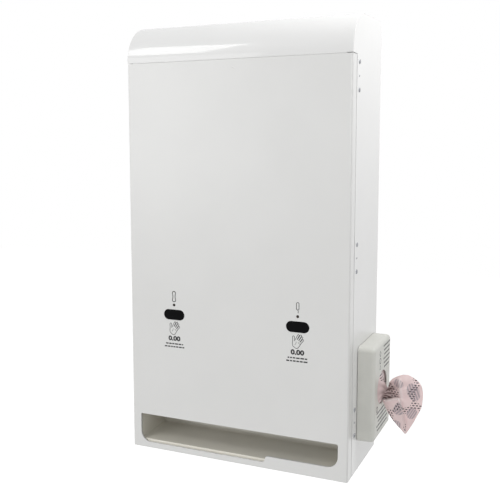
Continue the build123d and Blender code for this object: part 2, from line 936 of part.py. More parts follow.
def make_pad_ejector():
    """Carriage with two blades that push the lowest pack, and the rack below it."""
    low = ejector_low()
    back = ejector_back()
    top = low + ejector_thickness
    carriage = block(
        pad_x - ejector_half_width, pad_x + ejector_half_width, back - ejector_length, back, low, top
    )
    for side in (-1, 1):
        x = pad_x + side * blade_spread
        carriage += block(
            x - blade_width / 2, x + blade_width / 2, back - blade_thickness, back, top,
            pad_shelf_high + blade_rise,
        )
    pitch = math.pi * gear_module
    line = pitch_line_high()
    slant = math.tan(math.radians(gear_pressure_angle))
    tip = gear_tip_share * gear_module
    root = gear_root_share * gear_module
    bar_front = back - rack_length
    carriage += block(
        pad_x - gear_width / 2, pad_x + gear_width / 2, bar_front, back, low - rack_body, low
    )
    tooth_half = pitch / 4 - gear_backlash / 4
    reach = int(rack_length / pitch) + 2
    teeth = []
    for i in range(-reach, reach + 1):
        centre = pinion_deep() + (i + 0.5) * pitch
        if centre - tooth_half - root * slant < bar_front or centre + tooth_half + root * slant > back:
            continue
        teeth.append(
            along_x(
                side_face(
                    [
                        (centre - tooth_half - root * slant, line + root),
                        (centre + tooth_half + root * slant, line + root),
                        (centre + tooth_half - tip * slant, line - tip),
                        (centre - tooth_half + tip * slant, line - tip),
                    ]
                ),
                pad_x - gear_width / 2, pad_x + gear_width / 2,
            )
        )
    return carriage + teeth


def involute_half_angle(radius, base, pitch_radius, half_at_pitch):
    """Half the angle of a tooth at a radius, for an involute flank."""
    def spread(r):
        ratio = max(r / base, 1)
        roll = math.sqrt(ratio * ratio - 1)
        return roll - math.atan(roll)
    return half_at_pitch + spread(pitch_radius) - spread(radius)


def gear_tooth_points(centre_angle):
    """Corners of one tooth, from its root up one flank, over the tip and down the other."""
    pitch_radius = gear_module * gear_teeth / 2
    base = pitch_radius * math.cos(math.radians(gear_pressure_angle))
    half = math.pi / (2 * gear_teeth) - gear_backlash / (4 * pitch_radius)
    root = pitch_radius - gear_root_share * gear_module
    tip = pitch_radius + gear_tip_share * gear_module
    radii = [root, base + (pitch_radius - base) / 2, pitch_radius, (pitch_radius + tip) / 2, tip]
    flank = [(r, involute_half_angle(r, base, pitch_radius, half)) for r in radii]
    points = [(r, centre_angle - a) for r, a in flank]
    points += [(r, centre_angle + a) for r, a in reversed(flank)]
    return [(r * math.cos(a), r * math.sin(a)) for r, a in points]


def make_pad_pinion():
    """Spur gear under the rack, on the shaft of the pad motor."""
    d = pinion_deep()
    h = pinion_high()
    points = []
    for i in range(gear_teeth):
        points += gear_tooth_points(math.pi / 2 + 2 * math.pi * i / gear_teeth)
    x0 = pad_x - gear_width / 2
    face = side_face([(d + y, h + z) for y, z in points])
    gear = along_x(face, x0, x0 + gear_width)
    gear += rod_x(
        x0 - rail_wall, pad_motor_face() + motor_bore_depth - shaft_end_gap, d, h, pinion_shaft_radius
    )
    return gear


def gear_motor(face_x, side, d, h, bore):
    """Gear motor lying along X: its mounting face at face_x, its body towards side."""
    box_end = face_x + side * motor_gearbox_length
    end = box_end + side * motor_length
    motor = rod_x(face_x, box_end, d, h, motor_gearbox_radius)
    motor += rod_x(box_end, end, d, h, motor_radius)
    rims = motor.edges().filter_by(GeomType.CIRCLE).sort_by(Axis.X)
    motor = fillet(rims[-1 if side > 0 else 0], motor_corner)
    motor += rod_x(end, end + side * motor_end_length, d, h, motor_end_radius)
    motor += rod_x(face_x - side * motor_boss_length, face_x, d, h, motor_boss_radius)
    motor -= rod_x(
        face_x - side * (motor_boss_length + cut_over), face_x + side * motor_bore_depth, d, h,
        bore + shaft_running,
    )
    return motor


def pad_motor_face():
    return pad_x + gear_width / 2 + motor_boss_length + rail_wall


def make_pad_motor():
    return gear_motor(pad_motor_face(), 1, pinion_deep(), pinion_high(), pinion_shaft_radius)


def make_pad_motor_bracket():
    """Folded plate on the deck that carries the pad motor by its face."""
    x1 = pad_motor_face()
    x0 = x1 - motor_bracket_thickness
    d0 = pinion_deep() - motor_bracket_width / 2
    d1 = pinion_deep() + motor_bracket_width / 2
    top = pinion_high() + motor_gearbox_radius - rail_wall
    plate = block(x0, x1, d0, d1, tray_deck_high, top)
    plate = fillet(plate.edges().filter_by(Axis.X).sort_by(Axis.Z)[-2:], motor_boss_radius)
    plate += block(
        x0, x0 + motor_bracket_foot, d0, d1, tray_deck_high, tray_deck_high + motor_bracket_thickness
    )
    plate -= rod_x(x0 - cut_over, x1 + cut_over, pinion_deep(), pinion_high(), motor_boss_radius + fit_gap)
    return plate


# Tampon magazine, rotor and its housing
def make_tampon_magazine():
    """Column with an H-shaped section: its web is the back of the column."""
    back = cabinet_depth - sheet
    left = tampon_x - tampon_half_width
    right = tampon_x + tampon_half_width
    front = tampon_column_front - magazine_wall
    web = tampon_column_front + tampon_column_depth
    low = tampon_magazine_low
    body = block(left, right, web, web + magazine_wall, low, magazine_high)
    body += block(left - magazine_wall, left, front, back, low, magazine_high)
    body += block(right, right + magazine_wall, front, back, low, magazine_high)
    for x0 in (left, right - magazine_lip):
        body += block(x0, x0 + magazine_lip, front, front + magazine_wall, low, magazine_lip_top)
    return body


def rotor_deep():
    return tampon_column_front + tampon_column_depth / 2


def make_tampon_rotor():
    """Drum with three round pockets, one of which is under the column at rest."""
    d = rotor_deep()
    x0 = tampon_x - tampon_half_width + rotor_end_play
    x1 = tampon_x + tampon_half_width - rotor_end_play
    drum = rod_x(x0, x1, d, rotor_high, rotor_radius)
    for i in range(rotor_pockets):
        angle = math.pi / 2 + 2 * math.pi * i / rotor_pockets
        pd = d + rotor_pocket_pitch * math.cos(angle)
        ph = rotor_high + rotor_pocket_pitch * math.sin(angle)
        drum -= rod_x(x0 - cut_over, x1 + cut_over, pd, ph, rotor_pocket_radius)
        mouth_d = d + (rotor_radius + rotor_pocket_radius / 2) * math.cos(angle)
        mouth_h = rotor_high + (rotor_radius + rotor_pocket_radius / 2) * math.sin(angle)
        drum -= rod_x(x0 - cut_over, x1 + cut_over, mouth_d, mouth_h, rotor_pocket_radius)
    for x in (x0 + rotor_rib_gap, tampon_x, x1 - rotor_rib_gap):
        ring = rod_x(
            x - rotor_waist_width / 2, x + rotor_waist_width / 2, d, rotor_high, rotor_radius + cut_over
        )
        ring -= rod_x(
            x - rotor_waist_width, x + rotor_waist_width, d, rotor_high, rotor_radius - rotor_waist_width / 2
        )
        drum -= ring
    right = tampon_x + tampon_half_width + magazine_wall
    shaft = rod_x(
        tampon_motor_face() - motor_bore_depth + shaft_end_gap, right + rail_wall, d, rotor_high,
        rotor_shaft_radius,
    )
    return drum + shaft


def rotor_housing_top():
    return tampon_magazine_low - fit_gap


def make_rotor_housing():
    """Two cheeks that carry the rotor, joined by guards whose top edges stop the empty column's weight."""
    d = rotor_deep()
    left = tampon_x - tampon_half_width
    right = tampon_x + tampon_half_width
    top = rotor_housing_top()
    inner = rotor_radius + rotor_shell_gap
    outer = inner + rotor_shell_wall
    body = rod_x(left, right, d, rotor_high, outer)
    body -= rod_x(left - cut_over, right + cut_over, d, rotor_high, inner)
    mouth = rotor_pocket_radius + rotor_mouth_play
    body -= block(left - cut_over, right + cut_over, d - mouth, d + mouth, rotor_high, top + 2 * cut_over)
    body -= block(
        left - cut_over, right + cut_over, d - outer - cut_over, d + rotor_pocket_radius,
        rotor_high - outer - cut_over, rotor_high - rotor_pocket_radius,
    )
    body -= block(
        left - cut_over, right + cut_over, d - outer - cut_over, d + outer + cut_over, top, top + outer
    )
    web = tampon_column_front + tampon_column_depth + magazine_wall
    for x0 in (left - magazine_wall, right):
        cheek = side_face(
            [
                (rotor_cheek_front, top), (rotor_cheek_front, rotor_high), (d - mouth, rotor_cheek_low),
                (web + outer - inner, rotor_cheek_low), (web + outer - inner, tray_deck_high),
                (cabinet_depth - sheet, tray_deck_high),
                (cabinet_depth - sheet, tray_deck_high + rotor_cheek_foot),
                (web + rotor_cheek_foot, top),
            ]
        )
        body += along_x(cheek, x0, x0 + magazine_wall)
        bore = rotor_shaft_radius + shaft_running if x0 == right else motor_boss_radius + fit_gap
        body -= rod_x(x0 - cut_over, x0 + magazine_wall + cut_over, d, rotor_high, bore)
    return body


def tampon_motor_face():
    return tampon_x - tampon_half_width - magazine_wall


def make_tampon_motor():
    return gear_motor(tampon_motor_face(), -1, rotor_deep(), rotor_high, rotor_shaft_radius)


# Followers
def follower(x, half, d0, d1, low, thickness):
    """Weight that presses on the column, with a grip to lift it by."""
    half -= follower_play
    body = block(x - half, x + half, d0 + follower_play, d1 - follower_play, low, low + thickness)
    body = fillet(body.edges().filter_by(Axis.Z), follower_corner)
    middle = (d0 + d1) / 2
    top = low + thickness
    body += block(
        x - half * follower_weight_share, x + half * follower_weight_share,
        middle - follower_grip_thickness, middle + follower_grip_thickness,
        top, top + follower_weight_rise,
    )
    grip = block(
        x - follower_grip_width / 2, x + follower_grip_width / 2, middle - follower_grip_thickness / 2,
        middle + follower_grip_thickness / 2, top + follower_weight_rise,
        top + follower_weight_rise + follower_grip_rise,
    )
    body += fillet(grip.edges().filter_by(Axis.Y).sort_by(Axis.Z)[-2:], follower_grip_width / 3)
    return body


def make_pad_follower():
    """The pad weight has two grooves in which the blades of the ejector pass."""
    low = pad_shelf_high + flat_gap
    back = cabinet_depth - sheet - magazine_wall - pad_rib_rise
    front = pad_front() + magazine_wall
    body = follower(pad_x, pad_half_width, front, back, low, pad_follower_thickness)
    for side in (-1, 1):
        x = pad_x + side * blade_spread
        half = blade_width / 2 + blade_side_play
        body -= block(
            x - half, x + half, front - cut_over, back + cut_over, low - cut_over,
            pad_shelf_high + blade_rise + blade_side_play,
        )
    return body


def make_tampon_follower():
    low = rotor_housing_top() + flat_gap
    front = tampon_column_front
    back = front + tampon_column_depth
    return follower(tampon_x, tampon_half_width, front, back, low, tampon_follower_thickness)


# Batteries and control board
def battery_places():
    pitch = battery_radius + battery_cell_gap / 2
    return [
        (battery_box_x + side * pitch, row)
        for side in (-1, 1)
        for row in (0, 1)
    ]


def battery_deep():
    return cabinet_depth - sheet - battery_box_wall - battery_radius - fit_gap


def battery_row_low(row):
    step = battery_length + battery_nub_rise + battery_spring_height + battery_box_wall
    return battery_box_high + battery_box_wall + battery_spring_height + row * step


def make_battery_box():
    half = 2 * battery_radius + battery_cell_gap / 2 + fit_gap
    back = cabinet_depth - sheet
    front = back - battery_box_depth
    top = battery_row_low(1) + battery_length + battery_nub_rise + flat_gap
    box = block(
        battery_box_x - half - battery_box_wall, battery_box_x + half + battery_box_wall, front, back,
        battery_box_high, top + battery_box_wall,
    )
    shelf_top = battery_row_low(1) - battery_spring_height
    floor_top = battery_box_high + battery_box_wall
    for low, high_end in ((floor_top, shelf_top - battery_box_wall), (shelf_top, top)):
        box -= block(
            battery_box_x - half, battery_box_x + half, front - cut_over, back - battery_box_wall,
            low, high_end,
        )
    return box


def make_batteries():
    cells = []
    for x, row in battery_places():
        low = battery_row_low(row)
        cell = rod_z(x, battery_deep(), low, low + battery_length, battery_radius)
        cell = fillet(cell.edges().filter_by(GeomType.CIRCLE), battery_nub_rise)
        cell += rod_z(
            x, battery_deep(), low + battery_length, low + battery_length + battery_nub_rise,
            battery_nub_radius,
        )
        cells.append(cell)
    return cells


def make_battery_springs():
    """Coiled contact under each cell, one unbroken wire each, six-sided to keep its facets few."""
    springs = []
    for x, row in battery_places():
        low = battery_row_low(row) - battery_spring_height
        seat_radius = battery_spring_radius + battery_spring_wire
        plate = rod_z(x, battery_deep(), low, low + battery_spring_wire, seat_radius)
        start = battery_spring_wire * battery_spring_seat_share
        height = battery_spring_height - start - battery_spring_wire
        place = Pos(x, deep(battery_deep()), high(low + start))
        path = place * Helix(height / battery_spring_turns, height, battery_spring_radius)
        section = Plane(origin=path @ 0, z_dir=path % 0) * RegularPolygon(
            battery_spring_wire / 2, battery_spring_sides
        )
        springs.append(plate + sweep(section, path=path))
    return springs


def make_control_board():
    """Bare board with its connectors, chip, relays and capacitors, on four standoffs."""
    back = cabinet_depth - sheet
    face = back - board_standoff_length - board_thickness
    half = board_width / 2
    top = board_high + board_height
    x = battery_box_x
    board = block(x - half, x + half, face, face + board_thickness, board_high, top)
    for h in (board_high + board_connector, top - board_connector):
        for step in (-1, 0, 1):
            cx = x + step * board_connector_step
            board += block(
                cx - board_connector_width / 2, cx + board_connector_width / 2, face - board_connector, face,
                h - board_connector / 2, h + board_connector / 2,
            )
    middle = board_high + board_height / 2
    board += block(
        x - board_chip / 2, x + board_chip / 2, face - board_thickness, face,
        middle - board_chip / 2, middle + board_chip / 2,
    )
    for side in (-1, 1):
        cx = x + side * board_relay_step
        board += block(
            cx - board_chip / 2, cx + board_chip / 2, face - board_relay_height, face,
            middle - board_relay_drop, middle - board_relay_drop + board_relay_length,
        )
        board += rod_y(
            cx, face - board_capacitor_length, face, middle + board_capacitor_raise, board_capacitor_radius
        )
    return board


def make_board_standoffs():
    back = cabinet_depth - sheet
    half = board_width / 2 - board_standoff_inset
    return [
        rod_y(battery_box_x + side * half, back - board_standoff_length, back, h, board_standoff_radius)
        for side in (-1, 1)
        for h in (board_high + board_standoff_inset / 2 + board_standoff_radius,
                  board_high + board_height - board_standoff_inset / 2 - board_standoff_radius)
    ]


# Bag box on the right side
def bag_middle():
    return bag_box_deep + bag_box_run / 2


def bag_back_face():
    """X of the inner face of the moving back of the box."""
    return half_width + bag_plate_thickness + bag_back_gap


def make_bag_box_plate():
    """Plate on the side panel with two hooks that the box hangs on."""
    x0 = half_width
    x1 = x0 + bag_plate_thickness
    plate = block(
        x0, x1, bag_box_deep + bag_plate_inset, bag_box_deep + bag_box_run - bag_plate_inset,
        bag_box_low + bag_plate_inset, bag_box_low + bag_box_height - bag_plate_inset,
    )
    plate = fillet(plate.edges().filter_by(Axis.X), bag_box_edge)
    stub_end = bag_back_face() + bag_back_thickness + bag_back_gap + bag_hook_thickness
    half = bag_hook_width / 2
    for h in bag_hook_heights:
        plate += block(
            x1, stub_end, bag_middle() - half, bag_middle() + half,
            h - bag_hook_stub / 2, h + bag_hook_stub / 2,
        )
        plate += block(
            stub_end - bag_hook_thickness, stub_end, bag_middle() - half, bag_middle() + half,
            h, h + bag_hook_stub / 2 + bag_hook_lip,
        )
    for h in bag_screw_heights:
        plate -= rod_x(x0 - cut_over, x1 + cut_over, bag_slot_deep, h, bag_screw_radius + hinge_running)
    return plate


def make_bag_box_screws():
    screws = []
    for h in bag_screw_heights:
        top = half_width + bag_plate_thickness
        screw = rod_x(inner_half - rail_wall, top, bag_slot_deep, h, bag_screw_radius)
        screw += rod_x(inner_half - rail_wall, inner_half, bag_slot_deep, h, bag_screw_head_radius)
        screws.append(screw)
    return screws


def make_bag_box_back():
    """Inner back of the box, with a tall slot over each hook."""
    x0 = bag_back_face()
    margin = bag_box_wall + fit_gap
    back = block(
        x0, x0 + bag_back_thickness, bag_box_deep + margin, bag_box_deep + bag_box_run - margin,
        bag_box_low + margin, bag_box_low + bag_box_height - margin,
    )
    back = fillet(back.edges().filter_by(Axis.X), bag_box_round - margin)
    half = bag_hook_width / 2 + bag_hook_play
    for h in bag_hook_heights:
        # The slot's top edge rests on the stub, and the slot reaches down by the lip and the lift
        upper = h + bag_hook_stub / 2
        lower = h - bag_hook_stub / 2 - bag_lift - bag_hook_play
        back -= block(
            x0 - cut_over, x0 + bag_back_thickness + cut_over, bag_middle() - half, bag_middle() + half,
            lower, upper + bag_hook_play,
        )
    return back


def make_bag_box_shell():
    x0 = half_width + bag_box_off
    x1 = half_width + bag_box_thickness
    d0 = bag_box_deep
    d1 = d0 + bag_box_run
    h0 = bag_box_low
    h1 = h0 + bag_box_height
    shell = block(x0, x1, d0, d1, h0, h1)
    shell = fillet(shell.edges().filter_by(Axis.X), bag_box_round)
    shell = fillet(shell.faces().sort_by(Axis.X)[-1].edges(), bag_box_edge)
    wall = bag_box_wall
    inner = block(x0 - cut_over, x1 - wall, d0 + wall, d1 - wall, h0 + wall, h1 - wall)
    inner = fillet(inner.edges().filter_by(Axis.X), bag_box_round - wall)
    inner = fillet(inner.faces().sort_by(Axis.X)[-1].edges(), bag_box_edge - wall)
    shell -= inner
    plane = Plane(
        origin=(x1 - wall - cut_over, deep(bag_slot_deep), high(bag_slot_high)),
        x_dir=(0, 1, 0), z_dir=(1, 0, 0),
    )
    shell -= extrude(plane * Ellipse(bag_slot_run / 2, bag_slot_height / 2), wall + 2 * cut_over)
    return shell


def make_bag_pack():
    """Folded stack of bags between the back of the box and its shell."""
    hook_end = bag_back_face() + bag_back_thickness + bag_back_gap + bag_hook_thickness
    x0 = hook_end + pack_clearance
    x1 = half_width + bag_box_thickness - bag_box_wall - flat_gap
    pack = block(
        x0, x1,
        bag_box_deep + bag_box_wall + pack_inset, bag_box_deep + bag_box_run - bag_box_wall - pack_inset,
        bag_box_low + bag_box_wall + flat_gap, bag_box_low + bag_box_height - bag_box_wall - 2 * pack_inset,
    )
    pack = fillet(pack.edges().filter_by(Axis.X), pack_round)
    return fillet(pack.faces().sort_by(Axis.X)[-1].edges(), pack_inset)


def make_disposal_bag():
    """Corner of the top bag, pulled out through the oval slot."""
    face_x = half_width + bag_box_thickness
    d0 = bag_slot_deep - bag_thickness / 2
    outline = [(face_x + out * bag_reach, bag_tip_high + up * bag_height) for out, up in bag_outline_shares]
    bag = along_y(front_face(outline, d0), bag_thickness)
    bag = fillet(bag.edges().filter_by(Axis.Y, reverse=True), bag_edge_round)
    plane = Plane(
        origin=(face_x - bag_box_wall, deep(bag_slot_deep), high(bag_neck_high)),
        x_dir=(0, 1, 0), z_dir=(1, 0, 0),
    )
    neck = extrude(plane * Ellipse(bag_neck_run / 2, bag_neck_height / 2), bag_box_wall + bag_edge_round * 2)
    return bag + neck


nodes = {
    "back_panel": make_back_panel(),
    "left_side_panel": make_left_side_panel(),
    "right_side_panel": make_right_side_panel(),
    "bottom_panel": make_bottom_panel(),
    "top_hood": make_top_hood(),
    "door_panel": make_door_panel(),
    "door_stiffener": make_door_stiffener(),
    "door_catch": make_door_catch(),
    "sensor_window_left": make_sensor_window(-window_x),
    "sensor_window_right": make_sensor_window(window_x),
    "lamp_lens_left": make_lamp_lens(-window_x),
    "lamp_lens_right": make_lamp_lens(window_x),
    "sensor_case_left": make_sensor_case(-window_x),
    "sensor_case_right": make_sensor_case(window_x),
    "sensor_board_left": make_sensor_board(-window_x),
    "sensor_board_right": make_sensor_board(window_x),
    "hinge_screws": make_hinge_screws(),
    "hinge_rivets": make_rivets(),
    "lock_housing": make_lock_housing(),
    "lock_nut": make_lock_nut(),
    "lock_plug": make_lock_plug(),
    "lock_cam": make_lock_cam(),
    "lock_bolt": make_lock_bolt(),
    "dispensing_tray": make_dispensing_tray(),
    "pad_magazine": make_pad_magazine(),
    "pad_ejector": make_pad_ejector(),
    "pad_pinion": make_pad_pinion(),
    "pad_motor": make_pad_motor(),
    "pad_motor_bracket": make_pad_motor_bracket(),
    "pad_follower": make_pad_follower(),
    "tampon_magazine": make_tampon_magazine(),
    "tampon_rotor": make_tampon_rotor(),
    "rotor_housing": make_rotor_housing(),
    "tampon_motor": make_tampon_motor(),
    "tampon_follower": make_tampon_follower(),
    "battery_box": make_battery_box(),
    "batteries": make_batteries(),
    "battery_springs": make_battery_springs(),
    "control_board": make_control_board(),
    "board_standoffs": make_board_standoffs(),
    "bag_box_plate": make_bag_box_plate(),
    "bag_box_screws": make_bag_box_screws(),
    "bag_box_back": make_bag_box_back(),
    "bag_box_shell": make_bag_box_shell(),
    "bag_pack": make_bag_pack(),
    "disposal_bag": make_disposal_bag(),
}
for name, centre in zip(hinge_names, hinge_heights):
    nodes["hinge_bracket_" + name] = make_hinge_bracket(centre)
    nodes["hinge_arm_" + name] = make_hinge_arm(centre)
    nodes["hinge_pin_" + name] = make_hinge_pin(centre)

os.makedirs("parts", exist_ok=True)
for name, shape in nodes.items():
    if isinstance(shape, list):
        shape = Compound(children=[solid for piece in shape for solid in piece.solids()])
    export_step(shape, "parts/" + name + ".step")
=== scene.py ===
import json
import math
import random

import bmesh
import bpy
from mathutils import Matrix, Vector, noise


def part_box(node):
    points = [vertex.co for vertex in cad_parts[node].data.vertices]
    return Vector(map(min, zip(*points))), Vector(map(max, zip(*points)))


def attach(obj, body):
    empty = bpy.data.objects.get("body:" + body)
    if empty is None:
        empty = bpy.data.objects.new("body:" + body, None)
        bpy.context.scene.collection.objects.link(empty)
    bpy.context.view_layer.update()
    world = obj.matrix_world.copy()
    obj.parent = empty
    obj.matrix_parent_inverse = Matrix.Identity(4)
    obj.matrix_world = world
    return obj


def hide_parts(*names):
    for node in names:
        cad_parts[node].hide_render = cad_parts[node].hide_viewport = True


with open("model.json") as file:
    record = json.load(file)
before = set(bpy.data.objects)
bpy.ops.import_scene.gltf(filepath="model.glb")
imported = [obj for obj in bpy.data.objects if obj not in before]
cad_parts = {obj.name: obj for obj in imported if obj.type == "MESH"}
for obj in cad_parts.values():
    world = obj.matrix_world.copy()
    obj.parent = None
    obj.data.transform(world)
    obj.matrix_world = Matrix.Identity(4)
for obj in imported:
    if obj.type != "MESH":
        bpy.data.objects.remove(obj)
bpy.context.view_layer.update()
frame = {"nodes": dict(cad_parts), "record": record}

bl_info = {
    "name": "Dispenser looks",
    "version": (1, 0, 0),
    "blender": (4, 5, 0),
    "location": "View3D > Sidebar > Dispenser",
    "description": "Finishes and fine pieces of a wall-hung dispenser for pads and tampons",
    "category": "Object",
}

MM = 0.001

# Reference planes of the dispenser, read from the frame
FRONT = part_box("door_panel")[0].y
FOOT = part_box("door_panel")[0].z
DOOR_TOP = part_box("door_panel")[1].z
BOX_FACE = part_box("bag_box_shell")[1].x

# How deep ink reaches into its face, and how near points are that are made one
OVERLAP = 0.02 * MM
WELD = 0.01 * MM

# Part of a random field's range that a drift of colour or roughness uses
DRIFT = (0.3, 0.7)

# Control board: its thickness, the least rise of a part on it and the run of its end connectors
BOARD_THICKNESS = 1.6 * MM
PART_RISE = 0.2 * MM
CONNECTOR_RUN = 17 * MM
BOARD_GREEN = (0.012, 0.11, 0.045)
RELAY_BLACK = (0.018, 0.018, 0.02)
CONNECTOR_WHITE = (0.70, 0.69, 0.64)

# Pale bands of a battery: where each starts along the cell, and its colour
BATTERY_BANDS = ((0.62, (0.62, 0.64, 0.66)), (0.86, (0.72, 0.72, 0.70)))

# Small printed dashes: their lengths in millimetres, the space between two and the least room for one
DASH_LENGTHS = (2.6, 6.4)
DASH_SPACE = 1.2 * MM
DASH_ROOM = 1.5 * MM

# Print on the bag film: where a disc's soft edge starts, as a share of its radius, and the pitch of
# the patches of dashes with the least value of their field
DISC_EDGE = 0.93
PATCH_PITCH = 21 * MM
PATCH_LEAST = 0.60

# How much wider a number's strokes are than the typeface's, in heights of the type
NUMBER_BOLDNESS = 0.052


def spot(x, deep, high):
    """Point by its place across, its depth behind the front face and its height above the foot."""
    return Vector((x, FRONT + deep, FOOT + high))


def node_middle(node):
    low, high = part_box(node)
    return (low + high) / 2


def size(name, about, default):
    return bpy.props.FloatProperty(name=name, description=about, default=default, unit="LENGTH")


def number(name, about, default, least=0):
    return bpy.props.FloatProperty(name=name, description=about, default=default, min=least)


def angle(name, about, degrees):
    return bpy.props.FloatProperty(
        name=name, description=about, default=math.radians(degrees), subtype="ANGLE"
    )


def share(name, about, default):
    return bpy.props.FloatProperty(
        name=name, description=about, default=default, min=0, max=1, subtype="FACTOR"
    )


def colour(name, about, default):
    return bpy.props.FloatVectorProperty(
        name=name, description=about, default=default, size=3, min=0, max=1, subtype="COLOR"
    )


# Settings that a user would change, with heights above the foot of the door
class StageSettings(bpy.types.PropertyGroup):
    camera_x: size("Camera across", "How far the camera stands to the right of the middle", 0.4716)
    camera_deep: size("Camera depth", "Camera's place behind the front face, below zero before it", -1.0239)
    camera_high: size("Camera height", "Camera height above the foot of the door", 0.4901)
    camera_turn: angle("Turn", "How far the camera turns to the left", 23.45)
    camera_tilt: angle("Tilt", "How far the camera looks down", 6.02)
    lens_pixels: number("Lens", "Focal length in pixels of the picture", 745.1, 100)
    centre_row: number("Centre row", "Row of the picture that the lens points at", 228)
    picture_pixels: bpy.props.IntProperty(
        name="Picture", description="Width and height of the picture in pixels", default=500, min=1
    )
    floor_drop: size("Floor drop", "How far the floor lies below the dispenser", 0.45)
    floor_width: size("Floor width", "Width of the square floor", 9.0)
    floor_colour: colour("Floor", "Colour of the floor", (0.86, 0.86, 0.855))
    floor_glow: share("Floor glow", "Light that the floor adds where it is seen, to show as white", 0.62)
    ambient: number("Ambient", "Strength of the light from all round", 0.48)


class PaintSettings(bpy.types.PropertyGroup):
    door: colour("Door", "Colour of the door's gloss paint", (0.725, 0.725, 0.715))
    cabinet: colour("Cabinet", "Colour of the cabinet's paint", (0.80, 0.80, 0.795))
    hood: colour("Hood", "Colour of the hood's paint", (0.77, 0.77, 0.765))
    tray: colour("Tray", "Colour of the paint in the tray", (0.80, 0.77, 0.68))
    gloss: share("Gloss coat", "Weight of the clear coat on the paint", 0.7)
    peel_height: size("Orange peel", "Height of the waves in the paint", 0.003 * MM)
    peel_pitch: size("Peel pitch", "Distance between the waves in the paint", 5.0 * MM)


class MarkSettings(bpy.types.PropertyGroup):
    ink: colour("Ink", "Colour of the printed marks", (0.012, 0.012, 0.014))
    ink_height: size("Ink height", "How proud the ink stands", 0.05 * MM)
    line_width: size("Line", "Width of a drawn line", 1.0 * MM)
    pad_width: size("Pad width", "Width of the pad sign", 5.7 * MM)
    pad_height: size("Pad height", "Height of the pad sign", 16.8 * MM)
    tube_width: size("Tube width", "Width of the tampon sign", 4.1 * MM)
    tube_height: size("Tube height", "Height of the tampon sign without its string", 11.2 * MM)
    tube_string: size("String", "Length of the string of the tampon sign", 4.8 * MM)
    sign_foot: size("Sign foot", "Height of the foot of the upper signs", 248.6 * MM)
    hand_middle: size("Hand", "Height of the middle of the hand sign", 204.2 * MM)
    hand_scale: number("Hand scale", "Scale of the hand sign", 1.2, 0.1)
    number_foot: size("Number foot", "Height of the foot of the number", 185.0 * MM)
    number_height: size("Number height", "Height of the number", 8.2 * MM)
    number_width: size("Number width", "Width of the number", 21.6 * MM)
    row_high: size("Rows", "Height of the upper row of small dashes", 180.2 * MM)
    row_pitch: size("Row pitch", "Distance between the rows of small dashes", 4.8 * MM)
    row_width: size("Row width", "Width of a row of small dashes", 35.4 * MM)
    dot_ink: colour("Dot ink", "Colour of the pale round mark near the top", (0.62, 0.62, 0.61))
    dot_radius: size("Dot", "Radius of the pale round mark near the top", 2.2 * MM)
    dot_drop: size("Dot drop", "Distance of the pale mark from the top of the door", 13.0 * MM)
    box_ink: colour("Box ink", "Colour of the print on the bag box", (0.02, 0.02, 0.022))
    box_row_height: size("Box row", "Height of a row of dashes on the bag box", 2.6 * MM)
    box_row_pitch: size("Box row pitch", "Distance between the rows on the bag box", 6.8 * MM)


class BagSettings(bpy.types.PropertyGroup):
    film: colour("Film", "Colour of the bag film", (0.98, 0.76, 0.755))
    print_pale: colour("Pale print", "Colour of the striped discs on the film", (0.37, 0.31, 0.35))
    print_dark: colour("Dark print", "Colour of the dashes on the film", (0.045, 0.03, 0.04))
    # colours of the painted shade between the pleats and in the slot, and of the painted highlight on the
    # edge of the fold
    painted_fold_shade: colour("Fold shade", "Colour deep between the pleats", (0.10, 0.052, 0.047))
    painted_fold_highlight: colour("Fold edge", "Colour of the pale edge of the fold", (0.96, 0.86, 0.85))
    film_thickness: size("Film thickness", "Thickness of the film as shown", 0.12 * MM)
    deep: size("Depth", "Depth of the bag behind the front face", 95.0 * MM)
    root_high: size("Root", "Height of the middle of the film in the slot", 121.0 * MM)
    root_half_height: size("Root height", "Half the height of the film in the slot", 23.0 * MM)
    root_half_run: size("Root run", "Half the run of the film in the slot, front to back", 25.0 * MM)
    root_forward: size("Root forward", "How far the film in the slot sits towards its front edge", 4.5 * MM)
    root_inset: size("Root inset", "How far inside the box face the film starts", 1.6 * MM)
    neck_half_run: size("Neck", "Half the thickness of the gathered neck", 4.0 * MM)
    pleat_count: number("Pleats", "Pleats to a turn", 15.0, 1)
    pleat_depth: size("Pleat depth", "Depth of the pleats at the neck", 1.5 * MM)
    hollow_depth: size("Hollow", "How far the gathered film sinks beside the fold", 4.5 * MM)
    flap_rise: size("Flap rise", "How far the folded corner stands out", 3.2 * MM)
    puff: size("Puff", "Half the distance between the two layers", 3.0 * MM)


class ScrewSettings(bpy.types.PropertyGroup):
    head_radius: size("Head radius", "Radius of a screw head", 3.4 * MM)
    head_height: size("Head height", "Height of a screw head", 1.9 * MM)
    slot_width: size("Slot width", "Width of the cross recess", 0.9 * MM)


class SealSettings(bpy.types.PropertyGroup):
    tone: colour("Foam", "Colour of the foam strips round the door", (0.84, 0.84, 0.83))
    setback: size("Setback", "How far the top strip lies behind the front face", 0.3 * MM)
    top_run: size("Top run", "Width of the top strip, front to back", 10.0 * MM)
    side_run: size("Side run", "Width of the side strips, front to back", 6.0 * MM)
    thickness: size("Thickness", "Thickness of the side strips", 0.6 * MM)
    clearance: size("Clearance", "Space between a strip and the shut door", 0.25 * MM)
    end: size("End", "Space at the ends of the strips", 8.0 * MM)


# Node and mesh helpers
def in_scene(name, data):
    """New object of the scene, with that data."""
    made = bpy.data.objects.new(name, data)
    bpy.context.scene.collection.objects.link(made)
    return made


def empty_tree(holder):
    """Node tree of a material or world, with no node in it."""
    holder.use_nodes = True
    holder.node_tree.nodes.clear()
    return holder.node_tree


def add(tree, kind, inputs=None, **settings):
    """Node of that kind, whose inputs take values or are linked to sockets."""
    made = tree.nodes.new(kind)
    for name, value in settings.items():
        setattr(made, name, value)
    for name, value in (inputs or {}).items():
        if isinstance(value, bpy.types.NodeSocket):
            tree.links.new(value, made.inputs[name])
        else:
            made.inputs[name].default_value = value
    return made


